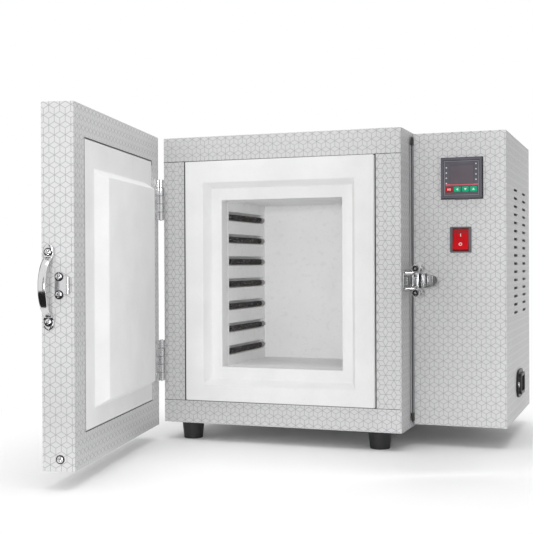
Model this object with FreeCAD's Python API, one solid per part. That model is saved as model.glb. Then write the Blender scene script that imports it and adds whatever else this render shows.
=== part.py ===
import FreeCAD, Part
import math
import os

# Chamber furnace with a side-hinged door and a control box on its right side.
# Millimetres. While the pieces are made, X runs right from the body's left side,
# Y runs back from the body's front plane and Z runs up from the body's underside.
# The last function moves everything so that the origin lies on the floor, under
# the middle of the whole furnace with its door open.

V = FreeCAD.Vector

# Heating body
body_w = 305.0
body_h = 357.0
body_d = 291.4
sheet = 1.2
seat_gap = 0.1

# Front strips round the mouth
strip_side_w = 30.3
strip_top_h = 30.0
strip_bottom_h = 27.8
strip_lip = 14.0
mouth_gap = 1.0

# Mouth plate and chamber
mouth_proud = 4.7
mouth_back = 30.0
wall_side = 74.5
wall_bottom = 70.0
wall_top = 79.0
chamber_w = body_w - 2 * wall_side
chamber_h = body_h - wall_bottom - wall_top
chamber_z = (wall_bottom + body_h - wall_top) / 2
chamber_rear_space = 127.4
chamber_back = body_d - chamber_rear_space
recess_step_x = 19.5
recess_step_z = 21.25
recess_w = chamber_w + 2 * recess_step_x
recess_h = chamber_h + 2 * recess_step_z
recess_depth = 15.0
recess_run = 6.5
slab_t = 30.0
rear_board_t = 66.0

# Heating coils in the side slabs
coil_count = 7
coil_end_space = 18.8
coil_pitch = (chamber_h - 2 * coil_end_space) / (coil_count - 1)
coil_r = 4.5
groove_r = 6.0
groove_sink = 1.0
coil_front_space = 6.0
coil_rear_space = 7.0
groove_end_gap = 2.0
lead_r = 1.5
lead_tail = 12.0
lead_off = 2.2

# Thermocouple through the rear wall
probe_r = 3.0
probe_in = 12.0
probe_from_right = 18.0
probe_from_top = 38.0
probe_head_r = 9.0
probe_head_l = 20.0

# Rubber feet
foot_h = 21.4
foot_top_r = 14.0
foot_bottom_r = 11.75
foot_inset_x = 31.0
foot_inset_y = 19.0
foot_bore_r = 5.0
foot_web = 6.0
foot_screw_r = 2.4
foot_head_r = 4.4
foot_head_h = 2.6

# Rear cover
rear_screw_inset = 10.0

# Door
door_over_w = 1.5
door_over_top = 0.8
door_bottom = -3.2
door_w = body_w + door_over_w
door_h = body_h + door_over_top - door_bottom
door_t = 33.2
door_gap = 5.0
door_angle = 79.15
door_window_side = 29.5
door_window_top = 31.0
door_window_bottom = 30.5
door_plate_t = 12.0
door_plate_gap = 0.6
plug_clear = 2.5
plug_w = recess_w - 2 * plug_clear
plug_h = recess_h - 2 * plug_clear
plug_rise = 14.0
plug_run = 8.0
door_corner_screw_z = 8.5
door_corner_screw_y = 15.0

# Butt hinges
hinge_h = 50.8
hinge_inset = 52.0
knuckle_count = 5
knuckle_r = 3.0
knuckle_gap = 0.16
hinge_pin_r = 1.5
hinge_pin_fit = 0.05
hinge_pin_cap = 0.9
leaf_t = 1.5
leaf_w = 20.0
leaf_screw_r = 1.8
leaf_screw_end = 8.0
leaf_screw_from_edge = 5.5
leaf_head_r = 3.3
leaf_head_h = 1.0
trim_head_h = 1.6
latch_head_h = 1.4
screw_bite = 4.0

# Pull handle on the door's free edge
handle_below_mid = 2.0
handle_pitch = 68.2
handle_ear_w = 11.0
handle_strap_w = 8.2
handle_strap_t = 2.6
handle_rise = 20.5
handle_ear_t = 2.2
handle_from_inner = 25.6
handle_foot = 7.0
handle_l = 84.3

# Keeper for the latch on the door's free edge
keeper_plate_h = 27.0
keeper_plate_w = 9.0
keeper_from_inner = 15.0
keeper_t = 1.2
keeper_lip_h = 16.5
keeper_lip_reach = 11.0
keeper_lip_r = 1.8
keeper_pitch = 17.5
keeper_corner_r = 4.3

# Toggle latch on the body's right side
latch_below_mid = 0.5
latch_base_w = 26.0
latch_base_front = 8.0
latch_base_l = 36.0
latch_t = 1.6
latch_corner_r = 4.8
latch_ear_gap = 17.5
latch_ear_t = 1.2
latch_ear_r = 2.6
latch_ear_foot = 9.0
latch_pivot_out = 12.0
latch_pivot_y = 20.0
latch_pivot_r = 1.5
latch_throw = 4.2
lever_w = 17.2
lever_l = 27.5
lever_end_w = 13.0
lever_rib_r = 0.9
lever_rib_gap = 2.2
lever_t = 1.6
lever_depth = 6.0
lever_flange_l = 14.0
lever_ear_r = 4.0
hook_pin_r = 1.4
hook_w = 15.0
hook_t = 1.8
hook_front_y = 0.4
hook_clear = 0.4
collar_r = 3.0
collar_l = 5.0
rod_z = 14.0
rod_r = 1.3
spring_r = 3.9
spring_l = 10.0
cup_r = 4.8
cup_bore_r = 3.5
cup_l = 6.0
cup_floor = 1.4
bridge_w = 6.0
hook_window_w = 2.6
hook_window_h = 8.0
hook_window_in = 1.5
nut_r = 2.6
nut_l = 2.4
running_fit = 0.06

# Control box
ctrl_gap = 3.2
ctrl_w = 109.7
ctrl_lift = 3.5
ctrl_drop = 2.2
ctrl_h = body_h - ctrl_lift - ctrl_drop
ctrl_setback = 55.1

# Spacer rails between body and control box
rail_w = 15.0
rail_front = 46.0
rail_rear_inset = 30.0
rail_end_inset = 14.5

# Vent slots in the control box side
slot_rows = 16
slot_pitch = 10.2
slot_l = 36.0
slot_h = 3.2
slot_bottom_z = 133.0
slot_col_1 = 91.0
slot_col_2 = 178.0

# Temperature controller
bezel_size = 48.0
bezel_t = 5.0
bezel_r = 1.5
bezel_from_left = 34.0
bezel_from_top = 31.3
bezel_rim = 3.0
face_sink = 1.2
face_t = 1.4
case_size = 44.6
case_depth = 78.0
case_wall = 2.0
panel_fit = 0.2
window_w = 28.0
window_h = 23.0
window_left = 7.5
window_top = 5.6
button_count = 4
button_w = 7.8
button_h = 6.4
button_pitch = 9.6
button_stand = 0.9
button_travel = 0.6
button_row_z = 10.6
button_corner_r = 0.8
button_fit = 0.15
clip_w = 9.0
clip_h = 1.6
clip_l = 30.0
board_gap = 2.0
board_t = 1.6
ledge_w = 1.5
case_slot_count = 7
case_slot_pitch = 5.0
case_slot_h = 2.4

# Rocker switch
rocker_bezel_w = 25.4
rocker_bezel_h = 30.7
rocker_bezel_t = 2.2
rocker_from_left = 56.5
rocker_from_top = 128.5
rocker_w = 18.6
rocker_r = 13.2
rocker_proud = 3.5
rocker_valley = 1.4
rocker_pivot_in = 2.0
rocker_back = 7.0
rocker_body_h = 29.0
rocker_body_w = 21.6
rocker_body_d = 24.0
rocker_tilt = 8.0
rocker_pin_r = 1.6
rocker_pin_l = 0.9
rocker_fit = 0.25
rocker_corner_r = 1.2

# Mains inlet in the control box side
inlet_l = 60.0
inlet_h = 34.5
inlet_z = 45.0
inlet_flange_t = 2.4
inlet_rim_l = 36.0
inlet_rim_h = 26.0
inlet_rim_out = 5.5
inlet_socket_l = 29.0
inlet_socket_h = 19.0
inlet_body_d = 26.0
inlet_socket_d = 18.0
inlet_screw_pitch = 48.0
inlet_screw_r = 1.7
inlet_pin_w = 2.0
inlet_pin_h = 6.0
inlet_pin_gap = 7.0
inlet_pin_step = 4.0
inlet_pin_l = 14.0
inlet_rim_r = 4.0
inlet_socket_r = 3.0

# Power parts inside the control box
sink_l = 110.0
sink_h = 72.0
sink_base_t = 5.0
sink_fin_count = 9
sink_fin_t = 2.0
sink_fin_h = 26.0
sink_from_rear = 40.0
sink_z = 150.0
relay_l = 58.0
relay_h = 45.0
relay_t = 24.0
block_l = 46.0
block_h = 20.0
block_t = 16.0
block_ways = 4
block_gap = 1.6
relay_r = 3.0
bush_r = 8.0
bush_lip = 2.0
bush_wall = 1.6
bush_z = 70.0
bush_from_rear = 18.0

# Derived places
ctrl_x0 = body_w + ctrl_gap
ctrl_x1 = ctrl_x0 + ctrl_w
ctrl_y0 = ctrl_setback
ctrl_y1 = body_d
ctrl_z0 = ctrl_lift
ctrl_z1 = ctrl_lift + ctrl_h
rear_y = body_d - sheet
mid_x = body_w / 2
slab_x0 = mid_x - chamber_w / 2 - slab_t
slab_x1 = mid_x + chamber_w / 2 + slab_t
slab_z0 = chamber_z - chamber_h / 2 - slab_t
slab_z1 = chamber_z + chamber_h / 2 + slab_t
slab_back = chamber_back + slab_t
board_back = slab_back + rear_board_t
coil_front = mouth_back + coil_front_space
coil_back = chamber_back - coil_rear_space
handle_z = body_h / 2 - handle_below_mid
latch_z = body_h / 2 - latch_below_mid
rocker_z = ctrl_z1 - rocker_from_top
hinge_x = -knuckle_r
hinge_y = -door_gap + knuckle_r
door_in = -door_gap
door_out = -door_gap - door_t
door_top = door_bottom + door_h

NODES = {}


def box(x0, x1, y0, y1, z0, z1):
    """Block between two corners."""
    return Part.makeBox(x1 - x0, y1 - y0, z1 - z0, V(x0, y0, z0))


def rod(radius, start, end):
    """Round bar from one point to another."""
    a = V(*start)
    b = V(*end)
    return Part.makeCylinder(radius, (b - a).Length, a, b - a)


def frustum(w0, h0, y0, w1, h1, y1, cx, cz):
    """Four-sided tapered block along Y, centred on cx and cz."""
    def loop(w, h, y):
        p = [V(cx - w / 2, y, cz - h / 2), V(cx + w / 2, y, cz - h / 2),
             V(cx + w / 2, y, cz + h / 2), V(cx - w / 2, y, cz + h / 2)]
        return Part.makePolygon(p + [p[0]])
    return Part.makeLoft([loop(w0, h0, y0), loop(w1, h1, y1)], True, True)


def round_edges(shape, radius, along):
    """Fillet the straight edges that run along the given direction."""
    d = V(*along)
    picked = []
    for e in shape.Edges:
        if len(e.Vertexes) == 2 and isinstance(e.Curve, Part.Line):
            t = e.Vertexes[1].Point - e.Vertexes[0].Point
            if t.cross(d).Length < 1e-6 * max(t.Length, 1):
                picked.append(e)
    return shape.makeFillet(radius, picked)


def obround(length, height, depth, centre, long_axis, normal):
    """Slot-shaped solid with round ends, its depth running along the normal from the centre."""
    u = V(*long_axis)
    n = V(*normal)
    w = n.cross(u)
    c = V(*centre)
    r = height / 2
    s = u * (length / 2 - r)
    a1 = c + s + w * r
    a2 = c + s - w * r
    b1 = c - s + w * r
    b2 = c - s - w * r
    wire = Part.Wire([
        Part.LineSegment(b1, a1).toShape(),
        Part.Arc(a1, c + s + u * r, a2).toShape(),
        Part.LineSegment(a2, b2).toShape(),
        Part.Arc(b2, c - s - u * r, b1).toShape()])
    return Part.Face(wire).extrude(n * depth)


def prism_z(points, z0, z1):
    """Flat outline in the XY plane raised from z0 to z1."""
    p = [V(x, y, z0) for x, y in points]
    return Part.Face(Part.makePolygon(p + [p[0]])).extrude(V(0, 0, z1 - z0))


def prism_y(points, y0, y1):
    """Flat outline in the XZ plane carried from y0 to y1."""
    p = [V(x, y0, z) for x, z in points]
    return Part.Face(Part.makePolygon(p + [p[0]])).extrude(V(0, y1 - y0, 0))


def pan_screw(radius, head_r, head_h, bite, seat, direction):
    """Screw whose domed head stands off its seat along the direction."""
    crown = head_h / 3
    rim = head_h - crown
    sphere_r = (head_r ** 2 + crown ** 2) / (2 * crown)
    mid_r = head_r / 2
    mid_z = head_h - sphere_r + math.sqrt(sphere_r ** 2 - mid_r ** 2)
    start = V(head_r, 0, rim)
    top = V(0, 0, head_h)
    lines = Part.makePolygon([top, V(0, 0, -bite), V(radius, 0, -bite), V(radius, 0, 0),
                              V(head_r, 0, 0), start])
    dome = Part.Arc(start, V(mid_r, 0, mid_z), top).toShape()
    screw = Part.Face(Part.Wire(lines.Edges + [dome])).revolve(V(0, 0, 0), V(0, 0, 1), 360)
    screw.Placement = FreeCAD.Placement(V(*seat), FreeCAD.Rotation(V(0, 0, 1), V(*direction)))
    return screw


def keep(name, *solids):
    """Give a node its solids, made valid and tidy."""
    out = []
    for s in solids:
        for one in s.removeSplitter().Solids:
            out.append(one)
    NODES[name] = out


def add(name, solids):
    """Put more of the same fasteners into one node."""
    NODES.setdefault(name, []).extend(solids)


def swing(shape):
    """Turn a piece of the closed door to the angle at which the door stands open."""
    turned = shape.copy()
    turned.rotate(V(hinge_x, hinge_y, 0), V(0, 0, 1), -door_angle)
    return turned


def heating_body():
    """Sheet casing, strips, rear cover and feet of the heating body."""
    casing = box(0, body_w, sheet, rear_y, 0, body_h)
    casing = casing.cut(box(sheet, body_w - sheet, 0, body_d, -1, body_h - sheet))
    casing = casing.cut(rod(bush_r + seat_gap, (body_w - 2 * sheet, body_d - bush_from_rear, bush_z),
                            (body_w + sheet, body_d - bush_from_rear, bush_z)))
    keep("outer_casing", casing)

    side_in = body_w - sheet
    floor = box(sheet, side_in, sheet, rear_y, 0, sheet)
    for x0 in (sheet, side_in - sheet):
        floor = floor.fuse(box(x0, x0 + sheet, sheet + strip_lip, rear_y, 0, strip_lip))
    for x, y in foot_places():
        floor = floor.cut(rod(foot_screw_r + seat_gap, (x, y, -1), (x, y, sheet + 1)))
    keep("base_plate", floor)

    top_z = body_h - strip_top_h
    lip = strip_lip + sheet
    keep("front_strip_top", box(0, body_w, 0, sheet, top_z, body_h).fuse(
        box(strip_side_w, body_w - strip_side_w, sheet, lip, top_z, top_z + sheet)))
    keep("front_strip_bottom", box(0, body_w, 0, sheet, 0, strip_bottom_h).fuse(
        box(strip_side_w, body_w - strip_side_w, sheet, lip, strip_bottom_h - sheet, strip_bottom_h)))
    for name, x0, x1, lip_x in (("front_strip_left", 0, strip_side_w, strip_side_w - sheet),
                                ("front_strip_right", body_w - strip_side_w, body_w,
                                 body_w - strip_side_w)):
        keep(name, box(x0, x1, 0, sheet, strip_bottom_h, top_z).fuse(
            box(lip_x, lip_x + sheet, sheet, lip, strip_bottom_h, top_z)))

    cover = box(0, body_w, rear_y, body_d, 0, body_h)
    keep("rear_cover", cover)
    inset = rear_screw_inset
    screws = []
    for x in (inset, body_w - inset):
        for z in (inset, body_h - inset):
            screws.append(pan_screw(foot_screw_r / 2, leaf_head_r, leaf_head_h, sheet - seat_gap,
                                    (x, body_d, z), (0, 1, 0)))
    NODES["rear_cover"] = [pierce(s, screws) for s in NODES["rear_cover"]]
    add("cover_screws", screws)

    feet = []
    screws = []
    for x, y in foot_places():
        foot = Part.makeCone(foot_bottom_r, foot_top_r, foot_h, V(x, y, -foot_h))
        foot = foot.cut(rod(foot_bore_r, (x, y, -foot_h - 1), (x, y, -foot_web)))
        foot = foot.cut(rod(foot_screw_r + seat_gap, (x, y, -foot_web - 1), (x, y, 1)))
        feet.append(foot)
        screws.append(pan_screw(foot_screw_r, foot_head_r, foot_head_h, foot_web + sheet + screw_bite,
                                (x, y, -foot_web), (0, 0, -1)))
    keep("feet", *feet)
    keep("foot_screws", *screws)


def pierce(shape, screws):
    """Cut the shanks of screws out of the sheet that they go through."""
    for s in screws:
        shape = shape.cut(s)
    return shape


def foot_places():
    """Centres of the four feet."""
    return [(x, y) for x in (foot_inset_x, body_w - foot_inset_x)
            for y in (foot_inset_y, body_d - foot_inset_y)]


def coil_heights():
    """Height of each heating coil."""
    first = chamber_z - coil_pitch * (coil_count - 1) / 2
    return [first + i * coil_pitch for i in range(coil_count)]


def chamber():
    """Fibre mouth plate, slabs, insulation, coils and thermocouple."""
    z0 = strip_bottom_h + mouth_gap
    z1 = body_h - strip_top_h - mouth_gap
    x0 = strip_side_w + mouth_gap
    plate = box(x0, body_w - x0, -mouth_proud, mouth_back, z0, z1)
    floor_y = recess_depth - mouth_proud
    plate = plate.cut(frustum(recess_w, recess_h, -mouth_proud, recess_w - 2 * recess_run,
                              recess_h - 2 * recess_run, floor_y, mid_x, chamber_z))
    inner_x0 = mid_x - chamber_w / 2
    inner_x1 = mid_x + chamber_w / 2
    inner_z0 = chamber_z - chamber_h / 2
    inner_z1 = chamber_z + chamber_h / 2
    plate = plate.cut(box(inner_x0, inner_x1, -mouth_proud, mouth_back, inner_z0, inner_z1))
    keep("mouth_plate", plate)

    keep("muffle_top", box(slab_x0, slab_x1, mouth_back, chamber_back, inner_z1, slab_z1))
    keep("muffle_bottom", box(slab_x0, slab_x1, mouth_back, chamber_back, slab_z0, inner_z0))
    tails = []
    for side, wall_x, outer_x, way in (("left", inner_x0, slab_x0, -1), ("right", inner_x1, slab_x1, 1)):
        slab = box(min(wall_x, outer_x), max(wall_x, outer_x), mouth_back, chamber_back,
                   inner_z0, inner_z1)
        coils = []
        groove_x = wall_x + way * groove_sink
        zs = coil_heights()
        for z in zs:
            slab = slab.cut(rod(groove_r, (groove_x, coil_front - groove_end_gap, z),
                                (groove_x, coil_back + groove_end_gap, z)))
            low = z - (groove_r - coil_r) + seat_gap
            coils.append(rod(coil_r, (groove_x, coil_front, low), (groove_x, coil_back, low)))
        for i in (0, -1):
            low = zs[i] - (groove_r - coil_r) + seat_gap
            x = groove_x + way * lead_off
            coils[i] = coils[i].fuse(rod(lead_r, (x, coil_front, low), (x, board_back + lead_tail, low)))
            tails.append(rod(lead_r + seat_gap, (x, coil_back, low), (x, board_back + 1, low)))
        NODES["muffle_" + side] = [slab]
        keep("heating_coil_" + side, *coils)
    drill = tails
    for name in ("muffle_left", "muffle_right"):
        keep(name, pierce(NODES[name][0], drill))

    probe_x = inner_x1 - probe_from_right
    probe_z = inner_z1 - probe_from_top
    bore = rod(probe_r + seat_gap, (probe_x, chamber_back - 1, probe_z),
               (probe_x, board_back + 1, probe_z))
    drill.append(bore)
    keep("muffle_rear", pierce(box(slab_x0, slab_x1, chamber_back, slab_back, slab_z0, slab_z1), drill))
    keep("insulation_rear", pierce(box(slab_x0, slab_x1, slab_back, board_back, slab_z0, slab_z1), drill))
    probe = rod(probe_r, (probe_x, chamber_back - probe_in, probe_z),
                (probe_x, board_back, probe_z))
    probe = probe.fuse(rod(probe_head_r, (probe_x, board_back, probe_z),
                           (probe_x, board_back + probe_head_l, probe_z)))
    keep("thermocouple", probe)

    side = 2 * (sheet + seat_gap)
    low = sheet + seat_gap
    high = body_h - sheet - seat_gap
    keep("insulation_walls",
         box(side, slab_x0 - seat_gap, mouth_back, board_back, low, high),
         box(slab_x1 + seat_gap, body_w - side, mouth_back, board_back, low, high),
         box(slab_x0, slab_x1, mouth_back, board_back, slab_z1, high),
         box(slab_x0, slab_x1, mouth_back, board_back, low, slab_z0))


def door_assembly():
    """Door pan, inner frame, fibre plate with its plug, and the corner screws."""
    shell = box(0, door_w, door_out, door_in - sheet, door_bottom, door_top)
    shell = shell.cut(box(sheet, door_w - sheet, door_out + sheet, door_in,
                          door_bottom + sheet, door_top - sheet))
    z0 = door_window_bottom
    z1 = body_h - door_window_top
    x0 = door_window_side
    x1 = body_w - door_window_side
    frame = box(0, door_w, door_in - sheet, door_in, door_bottom, door_top)
    frame = frame.cut(box(x0, x1, door_out, 1, z0, z1))
    g = door_plate_gap
    plate = box(x0 + g, x1 - g, door_in - door_plate_t, door_in, z0 + g, z1 - g)
    plug = frustum(plug_w, plug_h, door_in, plug_w - 2 * plug_run, plug_h - 2 * plug_run,
                   door_in + plug_rise, mid_x, chamber_z)
    filler = box(sheet + seat_gap, door_w - sheet - seat_gap, door_out + sheet + seat_gap,
                 door_in - door_plate_t, door_bottom + sheet + seat_gap, door_top - sheet - seat_gap)
    cap = pan_screw(leaf_screw_r, leaf_head_r, trim_head_h, screw_bite,
                    (door_w, door_in - door_corner_screw_y, door_corner_screw_z), (1, 0, 0))
    cap2 = pan_screw(leaf_screw_r, leaf_head_r, trim_head_h, screw_bite,
                     (0, door_in - door_corner_screw_y, door_corner_screw_z), (-1, 0, 0))
    caps = [cap, cap2]
    keep("door_shell", pierce(shell, caps))
    keep("door_inner_frame", frame)
    keep("door_plate", plate.fuse(plug))
    keep("door_insulation", pierce(filler, caps))
    add("door_edge_screws", caps)


def handle():
    """Bow handle: two round-ended feet and an arched strap between them."""
    y = door_in - handle_from_inner
    half = handle_pitch / 2
    ear_end = handle_l / 2
    ear_c = ear_end - handle_ear_w / 2
    t = handle_ear_t
    feet = []
    for way in (-1, 1):
        foot = rod(handle_ear_w / 2, (door_w, y, handle_z + way * ear_c),
                   (door_w + t, y, handle_z + way * ear_c))
        inner = half - handle_foot - handle_strap_t / 2
        lo = handle_z + min(way * ear_c, way * inner)
        hi = handle_z + max(way * ear_c, way * inner)
        feet.append(foot.fuse(box(door_w, door_w + t, y - handle_ear_w / 2, y + handle_ear_w / 2, lo, hi)))
    span = half - handle_foot
    rise = handle_rise
    outer_r = (span ** 2 + rise ** 2) / (2 * rise)
    inner_rise = rise - handle_strap_t
    inner_span = span - handle_strap_t
    inner_r = (inner_span ** 2 + inner_rise ** 2) / (2 * inner_rise)
    y0 = y - handle_strap_w / 2
    bar = rod(outer_r, (door_w + rise - outer_r, y0, handle_z),
              (door_w + rise - outer_r, y0 + handle_strap_w, handle_z))
    bar = bar.cut(rod(inner_r, (door_w + inner_rise - inner_r, y0 - 1, handle_z),
                      (door_w + inner_rise - inner_r, y0 + handle_strap_w + 1, handle_z)))
    bar = bar.common(box(door_w, door_w + 2 * rise, y0, y0 + handle_strap_w,
                         handle_z - ear_end, handle_z + ear_end))
    screws = [pan_screw(leaf_screw_r, leaf_head_r, trim_head_h, t + screw_bite,
                        (door_w + t, y, handle_z + way * half), (1, 0, 0)) for way in (-1, 1)]
    bow = pierce(bar.fuse(feet), screws)
    keep("door_handle", bow)
    add("door_edge_screws", screws)
    for name in ("door_shell", "door_insulation"):
        keep(name, pierce(NODES[name][0], screws))


def keeper():
    """Strike plate with a rolled lip that the latch hook pulls on."""
    y = door_in - keeper_from_inner
    t = keeper_t
    half = keeper_plate_h / 2
    plate = box(door_w, door_w + t, y - keeper_plate_w / 2, y + keeper_plate_w / 2,
                latch_z - half, latch_z + half)
    plate = round_edges(plate, keeper_corner_r, (1, 0, 0))
    reach = y + keeper_lip_reach
    lip_half = keeper_lip_h / 2
    tongue = box(door_w, door_w + t, y, reach - keeper_lip_r, latch_z - lip_half, latch_z + lip_half)
    roll = rod(keeper_lip_r, (door_w + keeper_lip_r, reach - keeper_lip_r, latch_z - lip_half),
               (door_w + keeper_lip_r, reach - keeper_lip_r, latch_z + lip_half))
    core = rod(keeper_lip_r - t / 2, (door_w + keeper_lip_r, reach - keeper_lip_r, 0),
               (door_w + keeper_lip_r, reach - keeper_lip_r, body_h))
    screws = [pan_screw(leaf_screw_r, leaf_head_r, trim_head_h, t + screw_bite,
                        (door_w + t, y, latch_z + way * keeper_pitch / 2), (1, 0, 0)) for way in (-1, 1)]
    keep("latch_keeper", pierce(plate.fuse([tongue, roll]).cut(core), screws))
    add("door_edge_screws", screws)
    for name in ("door_shell", "door_insulation"):
        keep(name, pierce(NODES[name][0], screws))


def hinges():
    """Two butt hinges: wall leaves, door leaves, pins and screws."""
    step = hinge_h / knuckle_count
    wall = []
    door = []
    pins = []
    wall_screws = []
    door_screws = []
    for z0 in (hinge_inset, body_h - hinge_inset - hinge_h):
        wall_leaf = box(-leaf_t, 0, hinge_y, hinge_y + leaf_w, z0, z0 + hinge_h)
        door_leaf = box(hinge_x, hinge_x + leaf_w + knuckle_r, door_in, door_in + leaf_t,
                        z0, z0 + hinge_h)
        space = rod(knuckle_r + 2 * knuckle_gap, (hinge_x, hinge_y, z0), (hinge_x, hinge_y, z0 + hinge_h))
        barrel = {0: [], 1: []}
        for i in range(knuckle_count):
            lo = z0 + i * step + (knuckle_gap if i else 0)
            hi = z0 + (i + 1) * step - (knuckle_gap if i < knuckle_count - 1 else 0)
            barrel[i % 2].append(rod(knuckle_r, (hinge_x, hinge_y, lo), (hinge_x, hinge_y, hi)))
        bore = rod(hinge_pin_r, (hinge_x, hinge_y, z0 - 1), (hinge_x, hinge_y, z0 + hinge_h + 1))
        loose = rod(hinge_pin_r + hinge_pin_fit, (hinge_x, hinge_y, z0 - 1),
                    (hinge_x, hinge_y, z0 + hinge_h + 1))
        for leaf, own, other, hole, out in ((wall_leaf, 0, 1, bore, wall), (door_leaf, 1, 0, loose, door)):
            for k in barrel[other]:
                b = k.BoundBox
                leaf = leaf.cut(space.common(box(b.XMin - 1, b.XMax + 1, b.YMin - 1, b.YMax + 1,
                                                 b.ZMin - knuckle_gap, b.ZMax + knuckle_gap)))
            out.append(leaf.fuse(barrel[own]).cut(hole))
        pins.append(rod(hinge_pin_r, (hinge_x, hinge_y, z0 - hinge_pin_cap),
                        (hinge_x, hinge_y, z0 + hinge_h + hinge_pin_cap)))
        for z in (z0 + leaf_screw_end, z0 + hinge_h / 2, z0 + hinge_h - leaf_screw_end):
            wall_screws.append(pan_screw(leaf_screw_r, leaf_head_r, leaf_head_h, leaf_t + sheet,
                                         (-leaf_t, hinge_y + leaf_w - leaf_screw_from_edge, z),
                                         (-1, 0, 0)))
            door_screws.append(pan_screw(leaf_screw_r, leaf_head_r, leaf_head_h, leaf_t + screw_bite,
                                         (leaf_w - leaf_screw_from_edge, door_in + leaf_t, z),
                                         (0, 1, 0)))
    keep("hinge_wall_leaves", *[pierce(s, wall_screws) for s in wall])
    keep("hinge_door_leaves", *[pierce(s, door_screws) for s in door])
    keep("hinge_pins", *pins)
    add("side_screws", wall_screws)
    keep("hinge_door_screws", *door_screws)
    keep("outer_casing", pierce(NODES["outer_casing"][0], wall_screws))
    for name in ("door_inner_frame", "door_insulation"):
        keep(name, pierce(NODES[name][0], door_screws))


def latch():
    """Toggle latch: base, lever, hook with its yoke and springs, and pins."""
    z = latch_z
    px = body_w + latch_pivot_out
    py = latch_pivot_y
    y0 = latch_base_front
    half = latch_base_w / 2
    base = box(body_w, body_w + latch_t, y0, y0 + latch_base_l, z - half, z + half)
    base = round_edges(base, latch_corner_r, (1, 0, 0))
    ear_in = latch_ear_gap / 2
    foot = latch_ear_foot / 2
    for lo in (z - ear_in - latch_ear_t, z + ear_in):
        base = base.fuse(prism_z([(body_w, py - foot), (px, py - latch_ear_r), (px, py + latch_ear_r),
                                  (body_w, py + foot)], lo, lo + latch_ear_t))
        base = base.fuse(rod(latch_ear_r, (px, py, lo), (px, py, lo + latch_ear_t)))
    pin_half = ear_in + latch_ear_t + seat_gap
    pivot = rod(latch_pivot_r, (px, py, z - pin_half), (px, py, z + pin_half))
    screws = [pan_screw(leaf_screw_r, leaf_head_r, latch_head_h, latch_t + sheet,
                        (body_w + latch_t, y, z), (1, 0, 0))
              for y in (py + latch_ear_foot, y0 + latch_base_l - latch_corner_r)]
    keep("latch_base", pierce(base.cut(pivot), screws))
    keep("latch_pivot_pin", pivot)
    add("side_screws", screws)
    keep("outer_casing", pierce(NODES["outer_casing"][0], screws))

    hx = px + latch_throw
    w = lever_w / 2
    end_r = lever_end_w / 2
    tip_x = px + lever_l - end_r
    web_y = py - lever_depth
    neck_x = px + lever_flange_l
    lever = prism_y([(px - latch_pivot_r, z - w), (neck_x, z - w), (tip_x, z - end_r),
                     (tip_x, z + end_r), (neck_x, z + w), (px - latch_pivot_r, z + w)],
                    web_y, web_y + lever_t)
    lever = lever.fuse(rod(end_r, (tip_x, web_y, z), (tip_x, web_y + lever_t, z)))
    reach = lever_ear_r
    for lo in (z - w, z + w - lever_t):
        flange = box(px - reach, neck_x, web_y, py, lo, lo + lever_t)
        flange = flange.cut(box(px - reach, px - latch_pivot_r, web_y, py, lo, lo + lever_t))
        flange = flange.fuse(rod(reach, (px, py, lo), (px, py, lo + lever_t)))
        flange = flange.fuse(box(px, neck_x, py, py + hook_pin_r + 1, lo, lo + lever_t))
        lever = lever.fuse(flange)
    for x in (neck_x + lever_rib_gap, tip_x):
        lever = lever.fuse(rod(lever_rib_r, (x, web_y, z - end_r + lever_rib_r),
                               (x, web_y, z + end_r - lever_rib_r)))
    hook_bore = rod(hook_pin_r + running_fit, (hx, py, z - half), (hx, py, z + half))
    pivot_bore = rod(latch_pivot_r + running_fit, (px, py, z - half), (px, py, z + half))
    keep("latch_lever", lever.cut(hook_bore).cut(pivot_bore))

    yoke = rod(hook_pin_r, (hx, py, z - rod_z), (hx, py, z + rod_z))
    rods = []
    cups = []
    hollows = []
    springs = []
    front_y = hook_front_y
    cup_back = front_y + cup_l
    spring_y = py + collar_l / 2
    tail_y = spring_y + spring_l
    for way in (-1, 1):
        c = z + way * rod_z
        yoke = yoke.fuse(rod(collar_r, (hx, py - collar_l / 2, c), (hx, spring_y, c)))
        cups.append(rod(cup_r, (hx, front_y, c), (hx, cup_back, c)))
        hollows.append(rod(cup_bore_r, (hx, front_y - 1, c), (hx, cup_back - cup_floor, c)))
        bar = rod(rod_r, (hx, front_y, c), (hx, tail_y, c))
        rods.append(bar.fuse(rod(nut_r, (hx, tail_y, c), (hx, tail_y + nut_l, c))))
        sleeve = rod(spring_r, (hx, spring_y, c), (hx, tail_y, c))
        springs.append(sleeve.cut(rod(rod_r + running_fit, (hx, spring_y - 1, c), (hx, tail_y + 1, c))))
    yoke = yoke.cut(rod(rod_r + running_fit, (hx, py - collar_l, z - rod_z), (hx, py + collar_l, z - rod_z)))
    yoke = yoke.cut(rod(rod_r + running_fit, (hx, py - collar_l, z + rod_z), (hx, py + collar_l, z + rod_z)))
    keep("latch_yoke", yoke)
    keep("latch_springs", *springs)

    lip_front = door_in - keeper_from_inner + keeper_lip_reach - 2 * keeper_lip_r
    claw_y = lip_front - hook_clear - latch_throw
    claw_x = door_w + keeper_t + hook_clear + latch_throw
    side_x = hx + bridge_w / 2 - hook_t
    bridge = box(hx - bridge_w / 2, hx + bridge_w / 2, cup_back - hook_t, cup_back, z - rod_z, z + rod_z)
    strap = prism_z([(side_x, cup_back), (side_x, claw_y - hook_t), (claw_x, claw_y - hook_t),
                     (claw_x, claw_y), (side_x - hook_t, claw_y), (side_x - hook_t, cup_back)],
                    z - hook_w / 2, z + hook_w / 2)
    window_x = claw_x + hook_window_in
    window = box(window_x, window_x + hook_window_w, claw_y - 2 * hook_t, claw_y + hook_t,
                 z - hook_window_h / 2, z + hook_window_h / 2)
    hook = bridge.fuse(cups + [strap.cut(window)])
    for hollow in hollows:
        hook = hook.cut(hollow)
    keep("latch_hook", hook.fuse(rods))


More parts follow.
